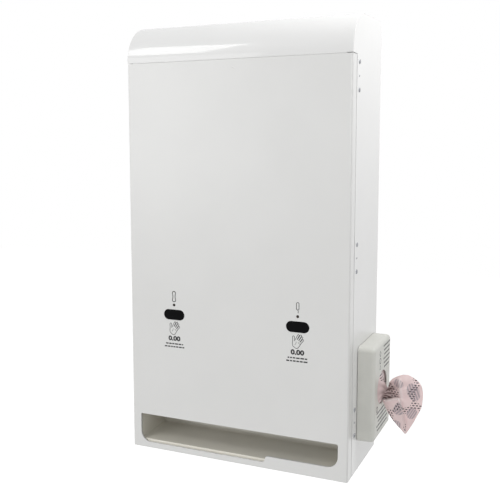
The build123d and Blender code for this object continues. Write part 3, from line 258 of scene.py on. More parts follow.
def opaque(rgb):
    return (*rgb, 1.0)


def mixed(tree, factor, first, second):
    """Colour between the first and the second, each a colour or a socket."""
    # inputs 0, 6 and 7 are the factor and the two colours, and output 2 is the mixed colour
    return add(tree, "ShaderNodeMix", {0: factor, 6: first, 7: second}, data_type="RGBA").outputs[2]


def new_finish(name, **shader_values):
    """Empty material with one Principled shader, whose sockets take plain values."""
    finish = bpy.data.materials.new(name)
    tree = empty_tree(finish)
    shader = add(tree, "ShaderNodeBsdfPrincipled", {k.replace("_", " "): v for k, v in shader_values.items()})
    add(tree, "ShaderNodeOutputMaterial", {"Surface": shader.outputs["BSDF"]})
    coords = add(tree, "ShaderNodeTexCoord").outputs["Object"]
    return finish, tree, shader, coords


def maths(tree, operation, *values):
    """Result of one operation on numbers or sockets."""
    return add(tree, "ShaderNodeMath", dict(enumerate(values)), operation=operation).outputs[0]


def clouds(tree, coords, pitch, detail):
    """Smooth random field with waves of that pitch."""
    field = add(tree, "ShaderNodeTexNoise", {"Vector": coords, "Scale": 1 / pitch, "Detail": detail})
    return field.outputs["Fac"]


def ranged(tree, value, low, high, least=0.0, most=1.0):
    """Value moved from one range to another and kept inside it."""
    return add(
        tree, "ShaderNodeMapRange",
        {"Value": value, "From Min": low, "From Max": high, "To Min": least, "To Max": most},
    ).outputs["Result"]


def stretched(tree, coords, scales):
    return add(tree, "ShaderNodeMapping", {"Vector": coords, "Scale": scales}).outputs["Vector"]


def grain(tree, coords, shader, pitch, height, detail=2.0):
    """Fine relief on the surface: waves of that pitch and height."""
    waves = clouds(tree, coords, pitch, detail)
    bump = add(tree, "ShaderNodeBump", {"Height": waves, "Distance": height, "Strength": 1.0})
    tree.links.new(bump.outputs["Normal"], shader.inputs["Normal"])


def cloudy(tree, coords, shader, first, second, pitch):
    """Colour that drifts between two tones."""
    drift = ranged(tree, clouds(tree, coords, pitch, 3.0), *DRIFT)
    tree.links.new(mixed(tree, drift, opaque(first), opaque(second)), shader.inputs["Base Color"])


def uneven(tree, coords, shader, low, high, pitch):
    """Roughness that drifts between two values."""
    drift = ranged(tree, clouds(tree, coords, pitch, 4.0), *DRIFT, low, high)
    tree.links.new(drift, shader.inputs["Roughness"])


def toned(rgb, factor):
    return tuple(min(1.0, c * factor) for c in rgb)


# Finishes, one function for each kind
def gloss_paint(name, rgb, roughness=0.3, coat=None, haze=0.07):
    """Powder paint with a clear gloss and slight orange peel."""
    paint = bpy.context.scene.dispenser_paint
    finish, tree, shader, coords = new_finish(
        name, Roughness=roughness, Coat_Weight=paint.gloss if coat is None else coat, Coat_Roughness=haze,
    )
    cloudy(tree, coords, shader, toned(rgb, 0.985), toned(rgb, 1.01), 90 * MM)
    uneven(tree, coords, shader, roughness - 0.01, roughness + 0.015, 120 * MM)
    grain(tree, coords, shader, paint.peel_pitch, paint.peel_height)
    return finish


def moulded_plastic(name, rgb, roughness=0.42, pitch=0.5 * MM, height=0.02 * MM):
    """Injection-moulded plastic with a fine spark-eroded texture."""
    finish, tree, shader, coords = new_finish(name, Roughness=roughness, IOR=1.5)
    cloudy(tree, coords, shader, toned(rgb, 0.96), toned(rgb, 1.03), 24 * MM)
    uneven(tree, coords, shader, roughness - 0.06, roughness + 0.08, 12 * MM)
    grain(tree, coords, shader, pitch, height)
    return finish


def gloss_plastic(name, rgb, roughness=0.12):
    """Polished plastic, such as a sensor window or a lens."""
    finish, tree, shader, coords = new_finish(name, Roughness=roughness, IOR=1.15)
    cloudy(tree, coords, shader, toned(rgb, 0.8), toned(rgb, 1.3), 9 * MM)
    uneven(tree, coords, shader, roughness * 0.7, roughness * 1.6, 6 * MM)
    return finish


def zinc_plate(name, rgb, roughness=0.36):
    """Zinc-plated steel with its crystal flakes and a rolled grain."""
    finish, tree, shader, coords = new_finish(name, Metallic=1.0)
    flakes = add(tree, "ShaderNodeTexVoronoi", {"Vector": coords, "Scale": 1 / (7 * MM)})
    flake_tone = mixed(
        tree, flakes.outputs["Distance"], opaque(toned(rgb, 0.86)), opaque(toned(rgb, 1.08))
    )
    tone = mixed(tree, clouds(tree, coords, 30 * MM, 3.0), flake_tone, opaque(rgb))
    tree.links.new(tone, shader.inputs["Base Color"])
    uneven(tree, coords, shader, roughness - 0.08, roughness + 0.1, 8 * MM)
    grain(tree, stretched(tree, coords, (1, 1, 0.08)), shader, 0.8 * MM, 0.012 * MM)
    return finish


def bright_steel(name, rgb, roughness=0.22, along=(0.06, 1, 1)):
    """Drawn or turned steel with fine lines along one way."""
    finish, tree, shader, coords = new_finish(name, Metallic=1.0)
    cloudy(tree, coords, shader, toned(rgb, 0.9), toned(rgb, 1.05), 14 * MM)
    lines = stretched(tree, coords, along)
    uneven(tree, lines, shader, roughness - 0.06, roughness + 0.1, 1.2 * MM)
    grain(tree, lines, shader, 0.5 * MM, 0.01 * MM)
    return finish


def parts_on_board(tree, coords, tracks):
    """Colour of black relays, and of white connectors along the ends, where they rise from the board."""
    low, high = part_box("control_board")
    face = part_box("board_standoffs")[0].y - BOARD_THICKNESS
    place = add(tree, "ShaderNodeSeparateXYZ", {"Vector": coords}).outputs
    proud = maths(tree, "LESS_THAN", place["Y"], face - PART_RISE)
    far = maths(tree, "ABSOLUTE", maths(tree, "SUBTRACT", place["Z"], (low.z + high.z) / 2))
    at_end = maths(tree, "GREATER_THAN", far, (high.z - low.z) / 2 - CONNECTOR_RUN)
    part = mixed(tree, at_end, opaque(RELAY_BLACK), opaque(CONNECTOR_WHITE))
    return mixed(tree, proud, tracks, part)


def circuit_board(name, with_parts=False):
    """Solder mask with copper tracks that show through it."""
    finish, tree, shader, coords = new_finish(name, Roughness=0.3, Coat_Weight=0.4, Coat_Roughness=0.15)
    tone = add(
        tree, "ShaderNodeTexBrick",
        {
            "Vector": coords, "Color1": opaque(BOARD_GREEN), "Color2": opaque(toned(BOARD_GREEN, 1.25)),
            "Mortar": opaque(toned(BOARD_GREEN, 1.9)), "Scale": 1 / (16 * MM), "Mortar Size": 0.03,
            "Brick Width": 0.6, "Row Height": 0.25,
        },
    ).outputs["Color"]
    if with_parts:
        tone = parts_on_board(tree, coords, tone)
    tree.links.new(tone, shader.inputs["Base Color"])
    uneven(tree, coords, shader, 0.25, 0.4, 6 * MM)
    return finish


def battery_wrap(name, rgb):
    """Printed foil round the cells: a pale band near one end of a darker body."""
    finish, tree, shader, coords = new_finish(name, Roughness=0.3, Metallic=0.35, Coat_Weight=0.3)
    low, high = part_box("batteries")
    cell_length = (high.z - low.z) / 2
    place = add(tree, "ShaderNodeSeparateXYZ", {"Vector": coords}).outputs["Z"]
    along = maths(tree, "DIVIDE", maths(tree, "SUBTRACT", place, low.z), cell_length)
    along = maths(tree, "FRACT", along)
    tone = opaque(rgb)
    for start, pale in BATTERY_BANDS:
        tone = mixed(tree, maths(tree, "GREATER_THAN", along, start), tone, opaque(pale))
    tree.links.new(tone, shader.inputs["Base Color"])
    uneven(tree, coords, shader, 0.22, 0.36, 10 * MM)
    return finish


def printing_ink(name, rgb):
    """Matt ink with a fine uneven face."""
    finish, tree, shader, coords = new_finish(name, Roughness=0.45)
    cloudy(tree, coords, shader, toned(rgb, 0.8), toned(rgb, 1.5), 1.5 * MM)
    grain(tree, coords, shader, 0.4 * MM, 0.01 * MM)
    return finish


def film_disc(tree, bag, flat, tone, centre, halves, turn):
    """Lay a pale striped disc over the tone of the film."""
    moved = add(
        tree, "ShaderNodeMapping",
        {"Vector": flat, "Location": (*centre, 0), "Rotation": (0, 0, turn), "Scale": (*halves, 1)},
        vector_type="TEXTURE",
    ).outputs["Vector"]
    far = add(tree, "ShaderNodeVectorMath", {0: moved}, operation="LENGTH").outputs["Value"]
    inside = ranged(tree, far, 1.0, DISC_EDGE)
    stripes = add(tree, "ShaderNodeTexWave", {"Vector": moved, "Scale": 0.75, "Distortion": 0.6})
    cover = ranged(tree, stripes.outputs["Fac"], 0.3, 0.5, 0.3, 0.8)
    return mixed(tree, maths(tree, "MULTIPLY", inside, cover), tone, opaque(bag.print_pale))


def film_dashes(tree, bag, flat, tone):
    """Lay patches of short staggered dashes over the tone of the film."""
    rows = add(
        tree, "ShaderNodeTexBrick",
        {"Vector": flat, "Scale": 1 / MM, "Brick Width": 5.2, "Row Height": 3.6, "Mortar Size": 1.0},
    )
    dash = maths(tree, "SUBTRACT", 1.0, rows.outputs["Fac"])
    patch = maths(tree, "GREATER_THAN", clouds(tree, flat, PATCH_PITCH, 0.0), PATCH_LEAST)
    return mixed(tree, maths(tree, "MULTIPLY", dash, patch), tone, opaque(bag.print_dark))


def printed_film(name, discs):
    """Thin bag film with striped discs and dashes, drawn on the film's own flat map in metres, with painted
    shade and a painted highlight laid on by point attributes.
    """
    bag = bpy.context.scene.dispenser_bag
    finish, tree, shader, coords = new_finish(
        name, Roughness=0.36, IOR=1.45, Alpha=0.96, Transmission_Weight=0.08, Coat_Weight=0.2,
        Coat_Roughness=0.25,
    )
    flat = add(tree, "ShaderNodeUVMap", uv_map="flat").outputs["UV"]
    drift = clouds(tree, flat, 22 * MM, 2.0)
    tone = mixed(tree, drift, opaque(toned(bag.film, 0.93)), opaque(toned(bag.film, 1.08)))
    for disc in discs:
        tone = film_disc(tree, bag, flat, tone, *disc)
    tone = film_dashes(tree, bag, flat, tone)
    # painted shade and painted highlight, each weighted by a point attribute of the film
    for attribute, shade in (("painted_shade", bag.painted_fold_shade), ("painted_highlight", bag.painted_fold_highlight)):
        weight = add(tree, "ShaderNodeAttribute", attribute_name=attribute).outputs["Fac"]
        tone = mixed(tree, weight, tone, opaque(shade))
    tree.links.new(tone, shader.inputs["Base Color"])
    grain(tree, coords, shader, 2.2 * MM, 0.06 * MM, 4.0)
    return finish


def slot_finishes():
    """The finish of each of the record's material slots."""
    paint = bpy.context.scene.dispenser_paint
    return {
        "door_paint": gloss_paint("door_paint", paint.door, 0.34, haze=0.32),
        "cabinet_paint": gloss_paint("cabinet_paint", paint.cabinet, 0.3, 0.3, haze=0.2),
        "hood_paint": gloss_paint("hood_paint", paint.hood, 0.42, 0.6),
        "tray_finish": gloss_paint("tray_finish", paint.tray, 0.34, 0.35),
        "rivet_steel": bright_steel("rivet_steel", (0.30, 0.31, 0.33), 0.34, (1, 1, 1)),
        "bracket_steel": zinc_plate("bracket_zinc", (0.62, 0.63, 0.64)),
        "arm_steel": zinc_plate("arm_zinc", (0.60, 0.61, 0.63), 0.32),
        "pin_steel": bright_steel("pin_steel", (0.68, 0.68, 0.69), 0.18, (1, 1, 0.06)),
        "window_black": gloss_plastic("window_black", (0.0025, 0.0025, 0.003)),
        "lamp_smoke": gloss_plastic("lamp_smoke", (0.05, 0.04, 0.035), 0.2),
        "sensor_case_black": moulded_plastic("case_black", (0.018, 0.018, 0.02), 0.5),
        "board_green": circuit_board("board_green"),
        "lock_chrome": bright_steel("lock_chrome", (0.80, 0.80, 0.81), 0.1, (1, 1, 1)),
        "lock_zinc": zinc_plate("lock_zinc", (0.66, 0.66, 0.62), 0.34),
        "magazine_plastic": moulded_plastic("magazine_grey", (0.66, 0.67, 0.68), 0.4),
        "mechanism_plastic": moulded_plastic("mechanism_white", (0.80, 0.79, 0.74), 0.36),
        "rotor_plastic": moulded_plastic("rotor_blue", (0.16, 0.25, 0.36), 0.38),
        "follower_steel": zinc_plate("follower_zinc", (0.58, 0.59, 0.60), 0.4),
        "motor_steel": bright_steel("motor_steel", (0.55, 0.55, 0.56), 0.26),
        "battery_label": battery_wrap("battery_label", (0.06, 0.09, 0.14)),
        "bag_box_plastic": moulded_plastic("bag_box_white", (0.665, 0.665, 0.622), 0.4, 0.7 * MM, 0.03 * MM),
        "bag_plate_steel": zinc_plate("bag_plate_zinc", (0.60, 0.61, 0.62)),
    }


def piece_from(name, mesh_maker, finish, body, smooth_angle=35):
    """New piece in the frame: its mesh from a bmesh, its finish and its body."""
    mesh = bpy.data.meshes.new(name)
    mesh_maker.to_mesh(mesh)
    mesh_maker.free()
    return piece_of_mesh(name, mesh, finish, body, smooth_angle)


def piece_of_mesh(name, mesh, finish, body, smooth_angle=35):
    """New piece in the frame from a mesh, which stays smooth across edges under that angle."""
    mesh.materials.clear()
    mesh.materials.append(finish)
    mesh.polygons.foreach_set("use_smooth", [True] * len(mesh.polygons))
    mesh.set_sharp_from_angle(angle=math.radians(smooth_angle))
    piece = in_scene(name, mesh)
    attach(piece, body)
    return piece


def slot_material(slot):
    """The finish that a slot's nodes already carry."""
    for part in frame["record"]["subparts"]:
        if part["material_slot"] == slot:
            return frame["nodes"][part["node"]].material_slots[0].material
    raise RuntimeError(f"no node has the slot {slot}")


def lit_panel(name, place, aim, width, height, power):
    """Soft rectangular light that faces a point."""
    data = bpy.data.lights.new(name, "AREA")
    data.shape = "RECTANGLE"
    data.size, data.size_y = width, height
    data.energy = power
    lamp = in_scene(name, data)
    lamp.location = place
    lamp.rotation_mode = "QUATERNION"
    lamp.rotation_quaternion = (aim - place).to_track_quat("-Z", "Y")


class DISPENSER_OT_stage(bpy.types.Operator):
    """Make the camera, the soft lights and the pale floor"""
    bl_idname = "dispenser.stage"
    bl_label = "Stage"

    # in metres and watts: place in the frame, spot that the light faces, width, height and power
    lights = {
        "left_softbox": ((-0.9, -1.26, 1.2), (-0.08, 0, 0.5), 0.42, 0.56, 5.2),
        "right_softbox": ((0.62, -0.06, 0.80), (0.18, 0.08, 0.45), 0.36, 0.36, 4.7),
        "front_softbox": ((-1.3, -1.9, 0.4), (0, 0, 0.42), 1.1, 1.1, 8.0),
        "low_softbox": ((0.26, -1.2, 0.30), (-0.03, 0.05, 0.02), 0.3, 0.3, 2.0),
    }
    sensor_width = 36.0

    def execute(self, context):
        stage = context.scene.dispenser_stage
        self.make_camera(context.scene, stage)
        self.make_world(context.scene, stage)
        self.make_floor(stage)
        for name, (place, aim, width, height, power) in self.lights.items():
            lit_panel(name, Vector(place), spot(*aim), width, height, power)
        context.scene.view_settings.view_transform = "Standard"
        return {"FINISHED"}

    def make_camera(self, scene, stage):
        data = bpy.data.cameras.new("camera")
        data.sensor_width = self.sensor_width
        data.lens = stage.lens_pixels / stage.picture_pixels * self.sensor_width
        data.shift_y = (stage.centre_row - stage.picture_pixels / 2) / stage.picture_pixels
        camera = in_scene("camera", data)
        camera.location = spot(stage.camera_x, stage.camera_deep, stage.camera_high)
        turn, tilt = stage.camera_turn, stage.camera_tilt
        ahead = Vector((-math.sin(turn) * math.cos(tilt), math.cos(turn) * math.cos(tilt), -math.sin(tilt)))
        camera.rotation_mode = "QUATERNION"
        camera.rotation_quaternion = ahead.to_track_quat("-Z", "Y")
        scene.camera = camera

    def seen_white(self, tree):
        """One for a ray that the camera sees straight, in a mirror or through glass."""
        rays = add(tree, "ShaderNodeLightPath").outputs
        mirrored = maths(tree, "MAXIMUM", rays["Is Camera Ray"], rays["Is Glossy Ray"])
        return maths(tree, "MAXIMUM", mirrored, rays["Is Transmission Ray"])

    def make_world(self, scene, stage):
        world = bpy.data.worlds.new("studio")
        tree = empty_tree(world)
        strength = ranged(tree, self.seen_white(tree), 0.0, 1.0, stage.ambient, 1.0)
        light = add(tree, "ShaderNodeBackground", {"Color": (1, 1, 1, 1), "Strength": strength})
        add(tree, "ShaderNodeOutputWorld", {"Surface": light.outputs["Background"]})
        scene.world = world

    def make_floor(self, stage):
        half = stage.floor_width / 2
        high = FOOT - stage.floor_drop
        floor_mesh = bpy.data.meshes.new("floor")
        corners = [(x, y, high) for x, y in ((-half, -half), (half, -half), (half, half), (-half, half))]
        floor_mesh.from_pydata(corners, [], [(0, 1, 2, 3)])
        finish = bpy.data.materials.new("floor_paint")
        tree = empty_tree(finish)
        matt = add(tree, "ShaderNodeBsdfDiffuse", {"Color": opaque(stage.floor_colour)})
        lift = maths(tree, "MULTIPLY", self.seen_white(tree), stage.floor_glow)
        glow = add(tree, "ShaderNodeEmission", {"Color": (1, 1, 1, 1), "Strength": lift})
        both = add(tree, "ShaderNodeAddShader", {0: matt.outputs[0], 1: glow.outputs[0]})
        add(tree, "ShaderNodeOutputMaterial", {"Surface": both.outputs[0]})
        floor_mesh.materials.append(finish)
        floor = in_scene("floor", floor_mesh)


class DISPENSER_OT_finish_nodes(bpy.types.Operator):
    """Give every piece of the frame its finish"""
    bl_idname = "dispenser.finish_nodes"
    bl_label = "Finish the frame's pieces"

    def execute(self, context):
        finishes = slot_finishes()
        special = {"control_board": circuit_board("board_and_parts", with_parts=True)}
        for part in frame["record"]["subparts"]:
            if part["material_slot"] == "bag_film":
                continue
            mesh = frame["nodes"][part["node"]].data
            mesh.materials.clear()
            mesh.materials.append(special.get(part["node"], finishes[part["material_slot"]]))
        return {"FINISHED"}


# Flat signs on the front face
def arc(centre, radius, start, end, steps):
    """Points on an arc, with its angles in degrees."""
    angles = [math.radians(start + (end - start) * i / steps) for i in range(steps + 1)]
    return [(centre[0] + radius * math.cos(a), centre[1] + radius * math.sin(a)) for a in angles]


def ring(radius, corners, start=90):
    """Corners of a closed regular outline about the origin."""
    return arc((0, 0), radius, start, start + 360 * (corners - 1) / corners, corners - 1)


def capsule(half_width, half_height, waist=0.0, steps=10):
    """Closed outline of an upright capsule, drawn in a little at its waist."""
    straight = half_height - half_width
    upper = arc((0, straight), half_width, 0, 180, steps)
    side = [i / steps for i in range(1, steps)]
    left = [(-half_width + waist * math.sin(math.pi * t), straight * (1 - 2 * t)) for t in side]
    lower = arc((0, -straight), half_width, 180, 360, steps)
    right = [(half_width - waist * math.sin(math.pi * t), straight * (2 * t - 1)) for t in side]
    return upper + left + lower + right


def finger(foot, length, half_width, lean):
    """Outline of one finger, up its left side, round the tip and down its right side."""
    slant = math.radians(lean)
    along = Vector((-math.sin(slant), math.cos(slant)))
    side = Vector((math.cos(slant), math.sin(slant))) * half_width
    foot = Vector(foot)
    tip = foot + along * (length - half_width)
    turns = [math.radians(a) for a in range(180, -1, -30)]
    round_tip = [tip + side * math.cos(a) + along * half_width * math.sin(a) for a in turns]
    return [tuple(p) for p in (foot - side, *round_tip, foot + side)]


def hand_outline():
    """Open hand in millimetres, fingers up, drawn with straight capsule fingers."""
    points = finger((-5.0, -1.6), 6.6, 1.25, 34)
    fingers = (
        ((-3.35, 2.6), 6.8, 4), ((-1.05, 3.0), 7.8, 0), ((1.25, 2.7), 7.2, -3), ((3.5, 1.9), 5.8, -8),
    )
    for foot, length, lean in fingers:
        points += finger(foot, length, 1.02, lean)
    points += [(4.6, -2.0), *arc((0.9, -4.2), 3.6, 10, -78, 5), (-2.6, -7.4), (-4.8, -5.0)]
    return points


def leaned(points, slant):
    turn = Matrix.Rotation(slant, 2)
    return [tuple(turn @ Vector(p)) for p in points]


def stroke(points, width, closed):
    """Band of that width along a line, as a list of quads."""
    line = [Vector(p) for p in points]
    count = len(line)
    sides = []
    for i, here in enumerate(line):
        before = line[i - 1] if closed or i else here
        after = line[(i + 1) % count] if closed or i < count - 1 else here
        way = (after - before).normalized()
        normal = Vector((-way.y, way.x)) * width / 2
        sides.append((here + normal, here - normal))
    last = count if closed else count - 1
    quads = []
    for i in range(last):
        (a, b), (c, d) = sides[i], sides[(i + 1) % count]
        quads.append([a, c, d, b])
    return quads


def print_flat(bm, polygons, place, height, faces_side=False):
    """Raise polygons of ink on a flat face: on the front, or on the side when faces_side is set."""
    for polygon in polygons:
        layers = []
        for lift in (OVERLAP, -height):
            if faces_side:
                layer = [bm.verts.new(place + Vector((-lift, p[0], p[1]))) for p in polygon]
            else:
                layer = [bm.verts.new(place + Vector((p[0], lift, p[1]))) for p in polygon]
            layers.append(layer)
        inner, outer = layers
        bm.faces.new(outer)
        count = len(polygon)
        for i in range(count):
            j = (i + 1) % count
            bm.faces.new((inner[i], inner[j], outer[j], outer[i]))
        bm.faces.new(inner[::-1])


def dash_row(width, height, seed):
    """Row of short plain dashes of unequal lengths, as rectangles about the middle of the row."""
    chance = random.Random(seed)
    rectangles = []
    left = -width / 2
    while left < width / 2 - DASH_ROOM:
        length = min(chance.uniform(*DASH_LENGTHS) * MM, width / 2 - left)
        rectangles.append([
            Vector((left, -height / 2)), Vector((left + length, -height / 2)),
            Vector((left + length, height / 2)), Vector((left, height / 2)),
        ])
        left += length + DASH_SPACE
    return rectangles


def scaled(points, factor):
    return [(p[0] * factor, p[1] * factor) for p in points]


def number_mesh(text, width, height):
    """Flat faces of a bold number, centred across and standing on its foot, as lists of points."""
    curve = bpy.data.curves.new("number", "FONT")
    curve.body = text
    curve.align_x = "CENTER"
    curve.offset = NUMBER_BOLDNESS
    curve.resolution_u = 4
    text_object = in_scene("number", curve)
    bpy.context.view_layer.update()
    mesh = bpy.data.meshes.new_from_object(text_object)
    bpy.data.objects.remove(text_object)
    xs = [v.co.x for v in mesh.vertices]
    ys = [v.co.y for v in mesh.vertices]
    wide, tall = max(xs) - min(xs), max(ys) - min(ys)
    middle, low = (max(xs) + min(xs)) / 2, min(ys)
    points = [
        Vector(((v.co.x - middle) * width / wide, (v.co.y - low) * height / tall)) for v in mesh.vertices
    ]
    faces = [[points[i] for i in face.vertices] for face in mesh.polygons]
    bpy.data.meshes.remove(mesh)
    return faces


class DISPENSER_OT_front_marks(bpy.types.Operator):
    """Print the signs, numbers and plain rows under and over the sensor windows"""
    bl_idname = "dispenser.front_marks"
    bl_label = "Front marks"

    figures = "0.00"
    pad_waist = 0.9 * MM
    string_sway, string_turn, string_steps = 0.9 * MM, 2.6, 8
    dash_height = 2.1 * MM
    row_shares = (0.88, 1.0)
    hand_lean = math.radians(-32)
    # in millimetres and degrees: middle, radius, start and end of each crease of the palm
    creases = (((-6.0, -3.0), 5.0, -20, 35), ((0.2, -7.5), 8.0, 62, 88))
    # widths of the drawn lines, as shares of the line width in the settings
    pad_stroke, hand_stroke, crease_stroke = 1.3, 0.85, 0.55

    def execute(self, context):
        marks = context.scene.dispenser_marks
        ink = printing_ink("door_ink", marks.ink)
        for side in ("left", "right"):
            bm = bmesh.new()
            x = node_middle(f"sensor_window_{side}").x
            self.print_sign(bm, x, side, marks)
            self.print_hand(bm, x, marks)
            figures = number_mesh(self.figures, marks.number_width, marks.number_height)
            print_flat(bm, figures, spot(x, 0, marks.number_foot), marks.ink_height)
            for row, row_share in enumerate(self.row_shares):
                dashes = dash_row(marks.row_width * row_share, self.dash_height, f"{side}{row}")
                place = spot(x, 0, marks.row_high - row * marks.row_pitch)
                print_flat(bm, dashes, place, marks.ink_height)
            piece_from(f"front_marks_{side}", bm, ink, "door")
        bm = bmesh.new()
        place = Vector((0, FRONT, DOOR_TOP - marks.dot_drop))
        print_flat(bm, [ring(marks.dot_radius, 24, 0)], place, marks.ink_height)
        pale = printing_ink("pale_ink", marks.dot_ink)
        piece_from("front_dot", bm, pale, "door")
        return {"FINISHED"}

    def print_sign(self, bm, x, side, marks):
        width = marks.line_width
        if side == "left":
            outline = capsule(marks.pad_width / 2, marks.pad_height / 2, self.pad_waist)
            place = spot(x, 0, marks.sign_foot + marks.pad_height / 2)
            print_flat(bm, stroke(outline, width * self.pad_stroke, True), place, marks.ink_height)
            return
        string = marks.tube_string
        outline = capsule(marks.tube_width / 2, marks.tube_height / 2)
        place = spot(x, 0, marks.sign_foot + string + marks.tube_height / 2)
        print_flat(bm, stroke(outline, width, True), place, marks.ink_height)
        foot = -marks.tube_height / 2
        shares = [i / self.string_steps for i in range(self.string_steps + 1)]
        hang = [(self.string_sway * math.sin(self.string_turn * t), foot - string * t) for t in shares]
        print_flat(bm, stroke(hang, width, False), place, marks.ink_height)

    def print_hand(self, bm, x, marks):
        place = spot(x, 0, marks.hand_middle)
        lines = [(hand_outline(), self.hand_stroke, True)]
        lines += [(arc(*crease, 6), self.crease_stroke, False) for crease in self.creases]
        for points, width, closed in lines:
            points = scaled(leaned(points, self.hand_lean), MM * marks.hand_scale)
            print_flat(bm, stroke(points, marks.line_width * width, closed), place, marks.ink_height)


class DISPENSER_OT_box_print(bpy.types.Operator):
    """Print plain rows and small shapes on the outer face of the bag box"""
    bl_idname = "dispenser.box_print"
    bl_label = "Bag box print"

    # in millimetres: middle behind the front face, width, height of the first row, number of rows
    row_groups = ((123, 44, 185, 6), (98, 72, 88, 5))
    # in millimetres: place behind the front face, height above the foot, radius and number of corners
    shapes = (
        (80, 178, 4.2, 4), (80, 167, 4.2, 20), (80, 156, 4.2, 3), (64, 95, 4.0, 20), (130, 95, 4.0, 4),
    )
    outline_width = 1.6 * MM
    # each row of three is shorter than the one before by this share
    row_loss = 0.12

    def execute(self, context):
        marks = context.scene.dispenser_marks
        bm = bmesh.new()
        for deep, width, high, count in self.row_groups:
            for row in range(count):
                row_width = width * MM * (1 - self.row_loss * (row % 3))
                dashes = dash_row(row_width, marks.box_row_height, f"box{deep}{row}")
                place = Vector((BOX_FACE, FRONT + deep * MM, FOOT + high * MM - row * marks.box_row_pitch))
                print_flat(bm, dashes, place, marks.ink_height, faces_side=True)
        for deep, high, radius, corners in self.shapes:
            place = Vector((BOX_FACE, FRONT + deep * MM, FOOT + high * MM))
            line = stroke(ring(radius * MM, corners), self.outline_width, True)
            print_flat(bm, line, place, marks.ink_height, faces_side=True)
        ink = printing_ink("box_ink", marks.box_ink)
        piece_from("bag_box_print", bm, ink, "bag_box")
        return {"FINISHED"}


# The bag and the pack behind it
def smooth_line(points, steps):
    """Points on a smooth curve through the given ones, steps to each span."""
    out = []
    count = len(points)
    for i in range(count - 1):
        p0, p1 = points[max(i - 1, 0)], points[i]
        p2, p3 = points[i + 1], points[min(i + 2, count - 1)]
        for s in range(steps):
            t = s / steps
            out.append(0.5 * (
                2 * p1 + (p2 - p0) * t + (2 * p0 - 5 * p1 + 4 * p2 - p3) * t * t
                + (3 * p1 - p0 - 3 * p2 + p3) * t ** 3
            ))
    out.append(points[-1])
    return out


def at_share(line, share_along):
    """Point of an evenly walked polyline at a share of its length."""
    lengths = [0.0]
    for a, b in zip(line, line[1:]):
        lengths.append(lengths[-1] + (b - a).length)
    goal = share_along * lengths[-1]
    for i in range(1, len(line)):
        if lengths[i] >= goal:
            span = lengths[i] - lengths[i - 1]
            t = (goal - lengths[i - 1]) / span if span else 0
            return line[i - 1].lerp(line[i], t)
    return line[-1]


def eased(value, low, high):
    """Smooth step from 0 at low to 1 at high."""
    t = min(1.0, max(0.0, (value - low) / (high - low)))
    return t * t * (3 - 2 * t)


def bell(value, middle, width):
    """Smooth bump that is 1 at the middle."""
    return math.exp(-((value - middle) / width) ** 2)


def line_distance(point, line):
    """Distance from a point to the nearest part of an open line."""
    best = math.inf
    for a, b in zip(line, line[1:]):
        along = b - a
        t = min(1.0, max(0.0, (point - a).dot(along) / along.length_squared))
        best = min(best, (point - a - along * t).length)
    return best


def holds(polygon, point):
    """Whether a closed polygon holds the point."""
    inside = False
    for a, b in zip(polygon, polygon[1:] + polygon[:1]):
        if (a.y > point.y) != (b.y > point.y) and point.x < a.x + (point.y - a.y) / (b.y - a.y) * (b.x - a.x):
            inside = not inside
    return inside


